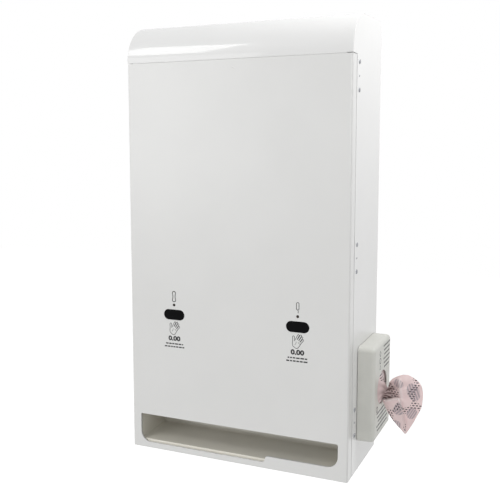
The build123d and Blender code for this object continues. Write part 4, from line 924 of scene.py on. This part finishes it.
class DISPENSER_OT_disposal_bag(bpy.types.Operator):
    """Make the corner of film that hangs out of the bag box"""
    bl_idname = "dispenser.disposal_bag"
    bl_label = "Disposal bag"

    # millimetres out of the box face and above the foot of the door
    rim_points = (
        (9.2, 123.0), (11.0, 130.0), (16.0, 136.9), (23.6, 141.7), (32.0, 144.9), (40.6, 145.3),
        (48.2, 142.3), (55.9, 137.5), (61.0, 131.0), (63.3, 119.2), (63.1, 108.7), (61.3, 96.3),
        (53.7, 79.3), (47.1, 66.0), (38.9, 52.0), (26.7, 62.8), (16.1, 75.3), (8.0, 88.3), (3.5, 96.6),
        (1.0, 101.0),
    )
    neck_points = ((8.6, 121.5), (1.0, 103.0))
    flap_points = (
        (-8.0, 102.0), (7.0, 102.9), (18.9, 107.4), (27.6, 108.8), (31.1, 100.6), (34.8, 85.6), (39.4, 46.0),
    )
    flap_outside = (-8.0, 46.0)
    # striped discs on the flat film: middle and half sizes in metres, and turn in radians
    discs = (
        ((0.049, 0.120), (0.0100, 0.0145), 0.35),
        ((0.026, 0.131), (0.0085, 0.0065), -0.3),
        ((0.047, 0.086), (0.0075, 0.0100), -0.5),
        ((0.060, 0.072), (0.0060, 0.0075), 0.2),
        ((0.072, 0.100), (0.0080, 0.0080), 0.9),
    )
    # turn and shift of the pattern where the film is folded over
    fold_turn = math.radians(64)
    fold_shift = Vector((0.12, 0.05))
    # heights of the forms in the hanging film
    edge_roll = 0.9 * MM
    groove_rise = 1.0 * MM
    broad_wave = 1.6 * MM
    small_wave = 0.8 * MM
    ridge_height = 1.1 * MM
    crest_height = 1.3 * MM
    # their places, in millimetres out of the box face and above the foot: the spot that the pleats
    # spread from and how far they reach, and a spot on the ridge and on the crest, with their slants
    pleat_spot, pleat_reach = (-3, 112), 22
    ridge_spot, ridge_slant, ridge_width = (24, 118), 0.42, 3.0
    crest_spot, crest_slant, crest_width = (31, 104), 0.11, 2.6
    # shares of full painted shade in the hollow, along the fold and beside the crest
    hollow_shade, painted_fold_shade, crest_shade = 0.66, 0.35, 0.16
    # film in the slot: its length, its pleats as shares of the hanging ones, with their slant, and
    # its painted shade: at the slot, added towards the neck, added on the pleats, and on the back layer
    root_film = 22 * MM
    root_pleats, root_pleat_depth, root_pleat_slant = 1.7, 0.7, 4
    slot_shade, neck_shade, pleat_shade, back_shade = 0.16, 0.50, 0.10, 0.3
    # how finely the film is divided: along the rim, round it, in the slot and out to the rim
    rim_steps = 8
    rays = 190
    root_rings = 22
    hang_rings = 96

    def execute(self, context):
        bag = context.scene.dispenser_bag
        corners = [Vector(p) * MM for p in self.rim_points]
        tip = min(range(len(corners)), key=lambda i: corners[i].y)
        before_tip = smooth_line(corners[: tip + 1], self.rim_steps)[:-1]
        self.rim = before_tip + smooth_line(corners[tip:], self.rim_steps)
        self.neck = [Vector(p) * MM for p in self.neck_points]
        self.flap = [Vector(p) * MM for p in self.flap_points]
        finish = printed_film("bag_film", self.discs)
        bm = bmesh.new()
        flat = bm.loops.layers.uv.new("flat")
        # point attributes that carry the film's painted shade and painted highlight
        shade_layer = bm.verts.layers.float.new("painted_shade")
        light = bm.verts.layers.float.new("painted_highlight")
        places = {}
        layers = []
        for side in (-1, 1):
            grid = []
            for i in range(self.rays + 1):
                v = i / self.rays
                edge = at_share(self.rim, v)
                row = []
                for point, place, shade, shine in self.film_row(bag, v, edge, side):
                    vertex = bm.verts.new(point)
                    vertex[shade_layer], vertex[light] = shade, shine
                    places[vertex] = place
                    row.append(vertex)
                grid.append(row)
            layers.append(grid)
        for grid, side in zip(layers, (-1, 1)):
            for i in range(self.rays):
                for j in range(len(grid[0]) - 1):
                    quad = [grid[i][j], grid[i + 1][j], grid[i + 1][j + 1], grid[i][j + 1]]
                    self.film_face(bm, flat, places, quad if side < 0 else quad[::-1])
        front, back = layers
        for i in range(self.rays):
            cap = [front[i][0], back[i][0], back[i + 1][0], front[i + 1][0]]
            self.film_face(bm, flat, places, cap)
        bmesh.ops.remove_doubles(bm, verts=bm.verts, dist=WELD)
        bmesh.ops.recalc_face_normals(bm, faces=bm.faces)
        piece = piece_from("hanging_bag", bm, finish, "bag_box", 60)
        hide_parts("disposal_bag")
        return {"FINISHED"}

    def film_face(self, bm, flat, places, corners):
        """Face with its place on the flat film, turned and shifted where the film is folded over."""
        face = bm.faces.new(corners)
        spots = [places[corner] for corner in corners]
        if self.flap_depth(sum(spots, Vector((0, 0))) / len(spots)) > 0:
            spots = [Matrix.Rotation(self.fold_turn, 2) @ p + self.fold_shift for p in spots]
        for loop, place in zip(face.loops, spots):
            loop[flat].uv = place

    def flap_depth(self, here):
        """How far a point lies inside the folded corner, less than zero outside it."""
        far = line_distance(here, self.flap)
        closed = self.flap + [Vector(self.flap_outside) * MM]
        return far if holds(closed, here) else -far

    def film_row(self, bag, v, edge, side):
        """Points of a layer from the slot to the rim: place, spot on the flat film, painted shade and painted
        highlight.
        """
        around = math.sin(math.pi * v)
        root = Vector((-bag.root_inset, bag.root_high + bag.root_half_height * math.cos(math.pi * v)))
        neck = self.neck[0].lerp(self.neck[1], v)
        for j in range(self.root_rings):
            t = j / self.root_rings
            here = root.lerp(neck, t)
            run = bag.root_half_run + (bag.neck_half_run - bag.root_half_run) * eased(t, -0.25, 1)
            out = side * run * around - bag.root_forward * (1 - t)
            pleat_turn = bag.pleat_count * self.root_pleats * v + self.root_pleat_slant * t
            pleat = math.sin(pleat_turn) * math.sin(math.pi * t)
            out += side * self.root_pleat_depth * bag.pleat_depth * pleat
            flat_spot = Vector((neck.x - (1 - t) * self.root_film, here.y))
            # painted shade on the film in the slot, deeper towards the neck and in the pleats, and an even
            # painted shade on the back layer
            shade = self.slot_shade + self.neck_shade * eased(t, 0.35, 1) + self.pleat_shade * pleat
            yield self.placed(bag, here, out), flat_spot, shade if side < 0 else self.back_shade, 0.0
        for j in range(self.hang_rings + 1):
            u = j / self.hang_rings
            here = neck.lerp(edge, u)
            relief, shade, shine = self.relief(bag, here)
            swell = bag.neck_half_run * around * (1 - eased(u, 0, 0.5))
            swell += bag.puff * math.sin(math.pi * u) * around ** 0.6
            if u < 1:
                swell += bag.film_thickness / 2
            out = relief * eased(u, 0, 0.06) + side * (swell if u < 1 else 0)
            yield self.placed(bag, here, out), here, shade, shine

    def relief(self, bag, here):
        """Depth, painted shade and painted highlight of the hanging film at a place on it."""
        inner = self.flap_depth(here)
        # in millimetres, as are the ranges of x and z over which a form rises or fades
        x, z = here / MM
        # folded corner with its rolled edge, and the film that rises beside it
        lifted = eased(inner, -0.3 * MM, 0.9 * MM)
        under = 1 - lifted
        out = -bag.flap_rise * lifted * eased(x, -2, 6)
        out -= self.edge_roll * bell(inner, 0.9 * MM, 1.1 * MM) * eased(x, 2, 10)
        out += self.groove_rise * bell(inner, -1.5 * MM, 2.4 * MM) * under
        # hollow beside the fold, and pleats that spread from the slot
        hollow = under * (1 - eased(x, 10, 30)) * (1 - eased(z, 121 + 0.25 * x, 131 + 0.2 * x))
        out += bag.hollow_depth * hollow
        run, rise = x - self.pleat_spot[0], z - self.pleat_spot[1]
        far = math.hypot(rise, run)
        wave = math.sin(bag.pleat_count * math.atan2(rise, run) + 0.05 * far)
        out += bag.pleat_depth * wave * math.exp(-far / self.pleat_reach) * (0.25 + 0.75 * under)
        # uneven waves, a slanting ridge and an upright crest
        out += self.broad_wave * noise.noise(Vector((x / 24, z / 24, 3.1)))
        out += self.small_wave * noise.noise(Vector((x / 8 + z / 30, z / 9, 8.7)))
        ridge = abs((z - self.ridge_spot[1]) - self.ridge_slant * (x - self.ridge_spot[0]))
        out -= self.ridge_height * math.exp(-ridge / self.ridge_width) * under * eased(x, 20, 34)
        across = x + self.crest_slant * (z - self.crest_spot[1])
        crest = bell(across, self.crest_spot[0], self.crest_width)
        crest = crest * eased(z, 100, 108) * (1 - eased(z, 136, 143))
        out -= self.crest_height * crest
        # painted shade in the hollow and its pleats, in the groove under the fold and beside the crest, and a
        # painted highlight on the rolled edge of the fold and on the crest
        shade = hollow * (self.hollow_shade + 0.26 * wave)
        shade += self.painted_fold_shade * under * bell(inner, -0.9 * MM, 1.3 * MM) * (1 - eased(x, 26, 34))
        shade += self.crest_shade * bell(across, 27, 2.2) * eased(z, 108, 116)
        shine = 0.95 * bell(inner, 0.8 * MM, 1.0 * MM) * (1 - 0.6 * eased(x, 26, 34)) + 0.5 * crest
        return out, min(1.0, max(0.0, shade)), shine

    def placed(self, bag, here, out):
        """Point in the frame, from its place on the hanging film and its depth there."""
        return Vector((BOX_FACE + here.x, FRONT + bag.deep + out, FOOT + here.y))


class DISPENSER_OT_bag_pack(bpy.types.Operator):
    """Make the folded bags that wait behind the slot"""
    bl_idname = "dispenser.bag_pack"
    bl_label = "Folded bags"

    layer_count = 9
    turn_steps = 6
    run_steps = 26
    across_steps = 34
    face_space = 0.4 * MM
    edge_space = 0.6 * MM
    film_wall = 0.5 * MM
    ripple_height = 0.28 * MM

    def execute(self, context):
        low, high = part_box("bag_pack")
        bm = bmesh.new()
        flat = bm.loops.layers.uv.new("flat")
        rows, length = self.film_rows(bm, self.folded_path(low, high), low, high)
        for a, b in zip(rows, rows[1:]):
            for s in range(self.across_steps):
                quad = [a[s], a[s + 1], b[s + 1], b[s]]
                face = bm.faces.new([v for v, _ in quad])
                for loop, (_, place) in zip(face.loops, quad):
                    loop[flat].uv = place
        piece = piece_from("folded_bags", bm, bpy.data.materials["bag_film"], "bag_box", 60)
        wall = piece.modifiers.new("film_wall", "SOLIDIFY")
        wall.thickness = self.film_wall
        wall.offset = 0
        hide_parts("bag_pack")
        return {"FINISHED"}

    def folded_path(self, low, high):
        """Line of the film through all its layers and turns, seen from the front."""
        layer_gap = (high.x - low.x - 2 * self.face_space) / self.layer_count
        radius = layer_gap / 2
        path = []
        for layer in range(self.layer_count):
            x = high.x - self.face_space - radius - layer * layer_gap
            ends = (low.z + radius, high.z - radius)
            if layer % 2:
                ends = ends[::-1]
            for s in range(self.run_steps + 1):
                path.append(Vector((x, ends[0] + (ends[1] - ends[0]) * s / self.run_steps)))
            if layer < self.layer_count - 1:
                way = 1 if ends[1] > ends[0] else -1
                for s in range(1, self.turn_steps):
                    a = math.pi * s / self.turn_steps
                    out, up = radius * math.cos(a), way * radius * math.sin(a)
                    path.append(Vector((x - radius + out, ends[1] + up)))
        return path

    def film_rows(self, bm, path, low, high):
        """Rows of points with their spots on the flat film, one to each point of the path, and its length."""
        rows = []
        travelled = 0.0
        for index, here in enumerate(path):
            if index:
                travelled += (here - path[index - 1]).length
            row = []
            for s in range(self.across_steps + 1):
                run = (high.y - low.y - 2 * self.edge_space) * s / self.across_steps
                y = low.y + self.edge_space + run
                ripple = self.ripple_height * noise.noise(Vector((here.y * 60, y * 90, index * 0.02)))
                row.append((bm.verts.new((here.x + ripple, y, here.y)), Vector((y - low.y, travelled))))
            rows.append(row)
        return rows, travelled


# Screws, made by one node tree: sides of a head, and its parts as shares of its radius or height
HEAD_SIDES = 20
WASHER_RADIUS, WASHER_HEIGHT = 1.25, 0.3
HEAD_TOP, HEAD_LIFT, RECESS_DEPTH = 0.62, 0.15, 0.9


def screw_tree():
    """Cross-head screws on the points of a mesh, each facing the way of its point's attribute."""
    tree = bpy.data.node_groups.new("screw_heads", "GeometryNodeTree")
    face = tree.interface
    face.new_socket("Geometry", in_out="INPUT", socket_type="NodeSocketGeometry")
    for name in ("Head Radius", "Head Height", "Slot Width"):
        face.new_socket(name, in_out="INPUT", socket_type="NodeSocketFloat")
    face.new_socket("Finish", in_out="INPUT", socket_type="NodeSocketMaterial")
    face.new_socket("Geometry", in_out="OUTPUT", socket_type="NodeSocketGeometry")
    given = add(tree, "NodeGroupInput").outputs
    radius, height, slot = given["Head Radius"], given["Head Height"], given["Slot Width"]

    def scaled_by(value, factor):
        return maths(tree, "MULTIPLY", value, factor)

    def vector(x, y, z):
        return add(tree, "ShaderNodeCombineXYZ", {"X": x, "Y": y, "Z": z}).outputs[0]

    washer = add(
        tree, "GeometryNodeMeshCylinder",
        {
            "Vertices": HEAD_SIDES, "Radius": scaled_by(radius, WASHER_RADIUS),
            "Depth": scaled_by(height, WASHER_HEIGHT),
        },
    )
    head = add(
        tree, "GeometryNodeMeshCone",
        {
            "Vertices": HEAD_SIDES, "Radius Bottom": radius, "Radius Top": scaled_by(radius, HEAD_TOP),
            "Depth": height,
        },
    )
    raised = add(
        tree, "GeometryNodeTransform",
        {"Geometry": head.outputs["Mesh"], "Translation": vector(0.0, 0.0, scaled_by(height, HEAD_LIFT))},
    )
    bars = add(tree, "GeometryNodeJoinGeometry")
    for x, y in ((radius, slot), (slot, radius)):
        cutter = add(tree, "GeometryNodeMeshCube", {"Size": vector(x, y, scaled_by(height, RECESS_DEPTH))})
        moved = add(
            tree, "GeometryNodeTransform",
            {"Geometry": cutter.outputs["Mesh"], "Translation": vector(0.0, 0.0, height)},
        )
        tree.links.new(moved.outputs[0], bars.inputs[0])
    cut = add(
        tree, "GeometryNodeMeshBoolean", {"Mesh 1": raised.outputs[0], "Mesh 2": bars.outputs[0]},
        operation="DIFFERENCE",
    )
    one = add(tree, "GeometryNodeJoinGeometry")
    tree.links.new(washer.outputs["Mesh"], one.inputs[0])
    tree.links.new(cut.outputs["Mesh"], one.inputs[0])
    facing = add(tree, "GeometryNodeInputNamedAttribute", {"Name": "facing"}, data_type="FLOAT_VECTOR")
    turned = add(tree, "FunctionNodeAlignRotationToVector", {"Vector": facing.outputs[0]}, axis="Z")
    placed = add(
        tree, "GeometryNodeInstanceOnPoints",
        {"Points": given["Geometry"], "Instance": one.outputs[0], "Rotation": turned.outputs[0]},
    )
    real = add(tree, "GeometryNodeRealizeInstances", {"Geometry": placed.outputs[0]})
    painted = add(
        tree, "GeometryNodeSetMaterial", {"Geometry": real.outputs[0], "Material": given["Finish"]}
    )
    add(tree, "NodeGroupOutput", {0: painted.outputs[0]})
    return tree


def grown(name, tree, points, facings, values, finish, body):
    """Plain piece from a node tree on points, with its inputs set by socket identifier."""
    mesh = bpy.data.meshes.new(name + "_points")
    mesh.from_pydata([tuple(p) for p in points], [], [])
    attribute = mesh.attributes.new("facing", "FLOAT_VECTOR", "POINT")
    attribute.data.foreach_set("vector", [c for f in facings for c in f])
    holder = in_scene(name + "_points", mesh)
    modifier = holder.modifiers.new("grow", "NODES")
    modifier.node_group = tree
    given = {item.name: item.identifier for item in tree.interface.items_tree if item.in_out == "INPUT"}
    for key, value in values.items():
        modifier[given[key]] = value
    modifier[given["Finish"]] = finish
    bpy.context.view_layer.update()
    depsgraph = bpy.context.evaluated_depsgraph_get()
    plain = bpy.data.meshes.new_from_object(holder.evaluated_get(depsgraph))
    holder.modifiers.remove(modifier)
    bpy.data.objects.remove(holder)
    if not plain.polygons:
        raise RuntimeError(f"{name}: the node tree made no faces")
    return piece_of_mesh(name, plain, finish, body, 30)


class DISPENSER_OT_screws(bpy.types.Operator):
    """Put cross-head screws on the fittings"""
    bl_idname = "dispenser.screws"
    bl_label = "Screws"

    board_inset = 3 * MM
    small_head = {"Head Radius": 2.4 * MM, "Head Height": 1.4 * MM, "Slot Width": 0.7 * MM}
    # the frame's nodes with screws beside them, and the sides: -1 for the left and 1 for the right
    screwed = (("pad_magazine", (-1, 1)), ("tampon_magazine", (1,)), ("battery_box", (1, -1)))
    side_space = 7 * MM
    height_shares = (0.06, 0.5, 0.94)

    def execute(self, context):
        tree = screw_tree()
        sizes = context.scene.dispenser_screws
        values = {
            "Head Radius": sizes.head_radius, "Head Height": sizes.head_height,
            "Slot Width": sizes.slot_width,
        }
        finish = bright_steel("screw_steel", (0.66, 0.66, 0.67), 0.24, (1, 1, 1))
        forward = Vector((0, -1, 0))
        stand_low, stand_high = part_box("board_standoffs")
        inset = self.board_inset
        board_face = stand_low.y - BOARD_THICKNESS
        board = [
            Vector((x, board_face, z))
            for x in (stand_low.x + inset, stand_high.x - inset)
            for z in (stand_low.z + inset, stand_high.z - inset)
        ]
        back_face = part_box("back_panel")[0].y
        wall = []
        for node, sides in self.screwed:
            low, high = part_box(node)
            for side in sides:
                x = (low.x if side < 0 else high.x) + side * self.side_space
                for t in self.height_shares:
                    wall.append(Vector((x, back_face, low.z + (high.z - low.z) * t)))
        groups = (("board_screws", board, self.small_head), ("wall_side_screws", wall, values))
        for name, points, head in groups:
            grown(name, tree, points, [forward] * len(points), head, finish, "cabinet")
        return {"FINISHED"}


class DISPENSER_OT_bumpers(bpy.types.Operator):
    """Put soft bumpers on the inside of the door"""
    bl_idname = "dispenser.bumpers"
    bl_label = "Door bumpers"

    radius, rise = 5 * MM, 2.6 * MM
    # from the middle of the top to the foot: shares of the radius and of the rise
    profile = ((0, 1), (0.55, 0.97), (0.85, 0.78), (1, 0.3), (1, 0))
    side_inset, top_inset, foot_inset = 14 * MM, 16 * MM, 180 * MM
    door_thickness = 1.5 * MM
    steps = 24

    def execute(self, context):
        bm = bmesh.new()
        low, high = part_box("door_panel")
        angles = [math.tau * s / self.steps for s in range(self.steps)]
        for z in (low.z + self.foot_inset, high.z - self.top_inset):
            centre = Vector((low.x + self.side_inset, FRONT + self.door_thickness, z))
            rings = []
            for far, lift in self.profile:
                r = far * self.radius
                rings.append([
                    bm.verts.new(centre + Vector((r * math.cos(a), lift * self.rise, r * math.sin(a))))
                    for a in angles
                ])
            for a, b in zip(rings, rings[1:]):
                for s in range(self.steps):
                    t = (s + 1) % self.steps
                    bm.faces.new((a[s], a[t], b[t], b[s]))
            bm.faces.new(rings[-1][::-1])
        bmesh.ops.remove_doubles(bm, verts=bm.verts, dist=WELD)
        bmesh.ops.recalc_face_normals(bm, faces=bm.faces)
        piece_from("door_bumpers", bm, slot_material("sensor_case_black"), "door", 40)
        return {"FINISHED"}


def free_spans(low, high, nodes, margin):
    """Parts of a height range that stay clear of some nodes, with a margin."""
    spans = [(low, high)]
    for node in nodes:
        bottom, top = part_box(node)[0].z - margin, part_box(node)[1].z + margin
        split = []
        for a, b in spans:
            split += [(a, min(b, bottom)), (max(a, top), b)]
        spans = [(a, b) for a, b in split if b - a > margin]
    return spans


def bar(bm, low, high):
    """Closed box between two corners."""
    made = bmesh.ops.create_cube(bm, size=1.0)["verts"]
    bmesh.ops.scale(bm, vec=high - low, verts=made)
    bmesh.ops.translate(bm, vec=(high + low) / 2, verts=made)


class DISPENSER_OT_seals(bpy.types.Operator):
    """Put pale foam strips behind the gaps round the door"""
    bl_idname = "dispenser.seals"
    bl_label = "Door seals"

    # fittings that a side's strip leaves room for: -1 for the left side and 1 for the right
    fittings = {
        -1: ("lock_housing",),
        1: ("hinge_bracket_bottom", "hinge_bracket_middle", "hinge_bracket_top"),
    }

    def execute(self, context):
        seal = context.scene.dispenser_seal
        bm = bmesh.new()
        door_low, door_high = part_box("door_panel")
        hood_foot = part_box("top_hood")[0].z
        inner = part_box("top_hood")[1].x
        front = FRONT + seal.setback
        bar(
            bm, Vector((-inner + seal.end, front, door_high.z + seal.clearance)),
            Vector((inner - seal.end, front + seal.top_run, hood_foot)),
        )
        gap_front = door_high.y + seal.clearance
        for side, blockers in self.fittings.items():
            left, right = sorted((side * (inner - seal.thickness), side * inner))
            for low, high in free_spans(door_low.z + seal.end, door_high.z - seal.end, blockers, seal.end):
                bar(bm, Vector((left, gap_front, low)), Vector((right, gap_front + seal.side_run, high)))
        foam = moulded_plastic("seal_foam", seal.tone, 0.8, 0.6 * MM, 0.05 * MM)
        piece_from("door_seals", bm, foam, "cabinet", 30)
        return {"FINISHED"}


# The add-on's panel, its list of steps and its start
OPERATORS = (
    DISPENSER_OT_stage,
    DISPENSER_OT_finish_nodes,
    DISPENSER_OT_front_marks,
    DISPENSER_OT_box_print,
    DISPENSER_OT_disposal_bag,
    DISPENSER_OT_bag_pack,
    DISPENSER_OT_screws,
    DISPENSER_OT_bumpers,
    DISPENSER_OT_seals,
)
SETTINGS = {
    "dispenser_stage": StageSettings,
    "dispenser_paint": PaintSettings,
    "dispenser_marks": MarkSettings,
    "dispenser_bag": BagSettings,
    "dispenser_screws": ScrewSettings,
    "dispenser_seal": SealSettings,
}


class DISPENSER_PT_panel(bpy.types.Panel):
    """Sidebar list of the steps and the settings"""
    bl_idname = "DISPENSER_PT_panel"
    bl_label = "Dispenser"
    bl_space_type = "VIEW_3D"
    bl_region_type = "UI"
    bl_category = "Dispenser"

    def draw(self, context):
        for operator in OPERATORS:
            self.layout.operator(operator.bl_idname)
        for name, group in SETTINGS.items():
            box = self.layout.box()
            box.label(text=group.__name__.replace("Settings", ""))
            for key in group.__annotations__:
                box.prop(getattr(context.scene, name), key)


def register():
    for group in SETTINGS.values():
        bpy.utils.register_class(group)
    for name, group in SETTINGS.items():
        setattr(bpy.types.Scene, name, bpy.props.PointerProperty(type=group))
    for operator in OPERATORS:
        bpy.utils.register_class(operator)
    bpy.utils.register_class(DISPENSER_PT_panel)


def unregister():
    bpy.utils.unregister_class(DISPENSER_PT_panel)
    for operator in reversed(OPERATORS):
        bpy.utils.unregister_class(operator)
    for name, group in SETTINGS.items():
        delattr(bpy.types.Scene, name)
        bpy.utils.unregister_class(group)


def main():
    register()
    bpy.ops.dispenser.stage()
    bpy.ops.dispenser.finish_nodes()
    bpy.ops.dispenser.front_marks()
    bpy.ops.dispenser.box_print()
    bpy.ops.dispenser.disposal_bag()
    bpy.ops.dispenser.bag_pack()
    bpy.ops.dispenser.screws()
    bpy.ops.dispenser.bumpers()
    bpy.ops.dispenser.seals()
    bpy.context.view_layer.update()


if __name__ == "__main__":
    main()
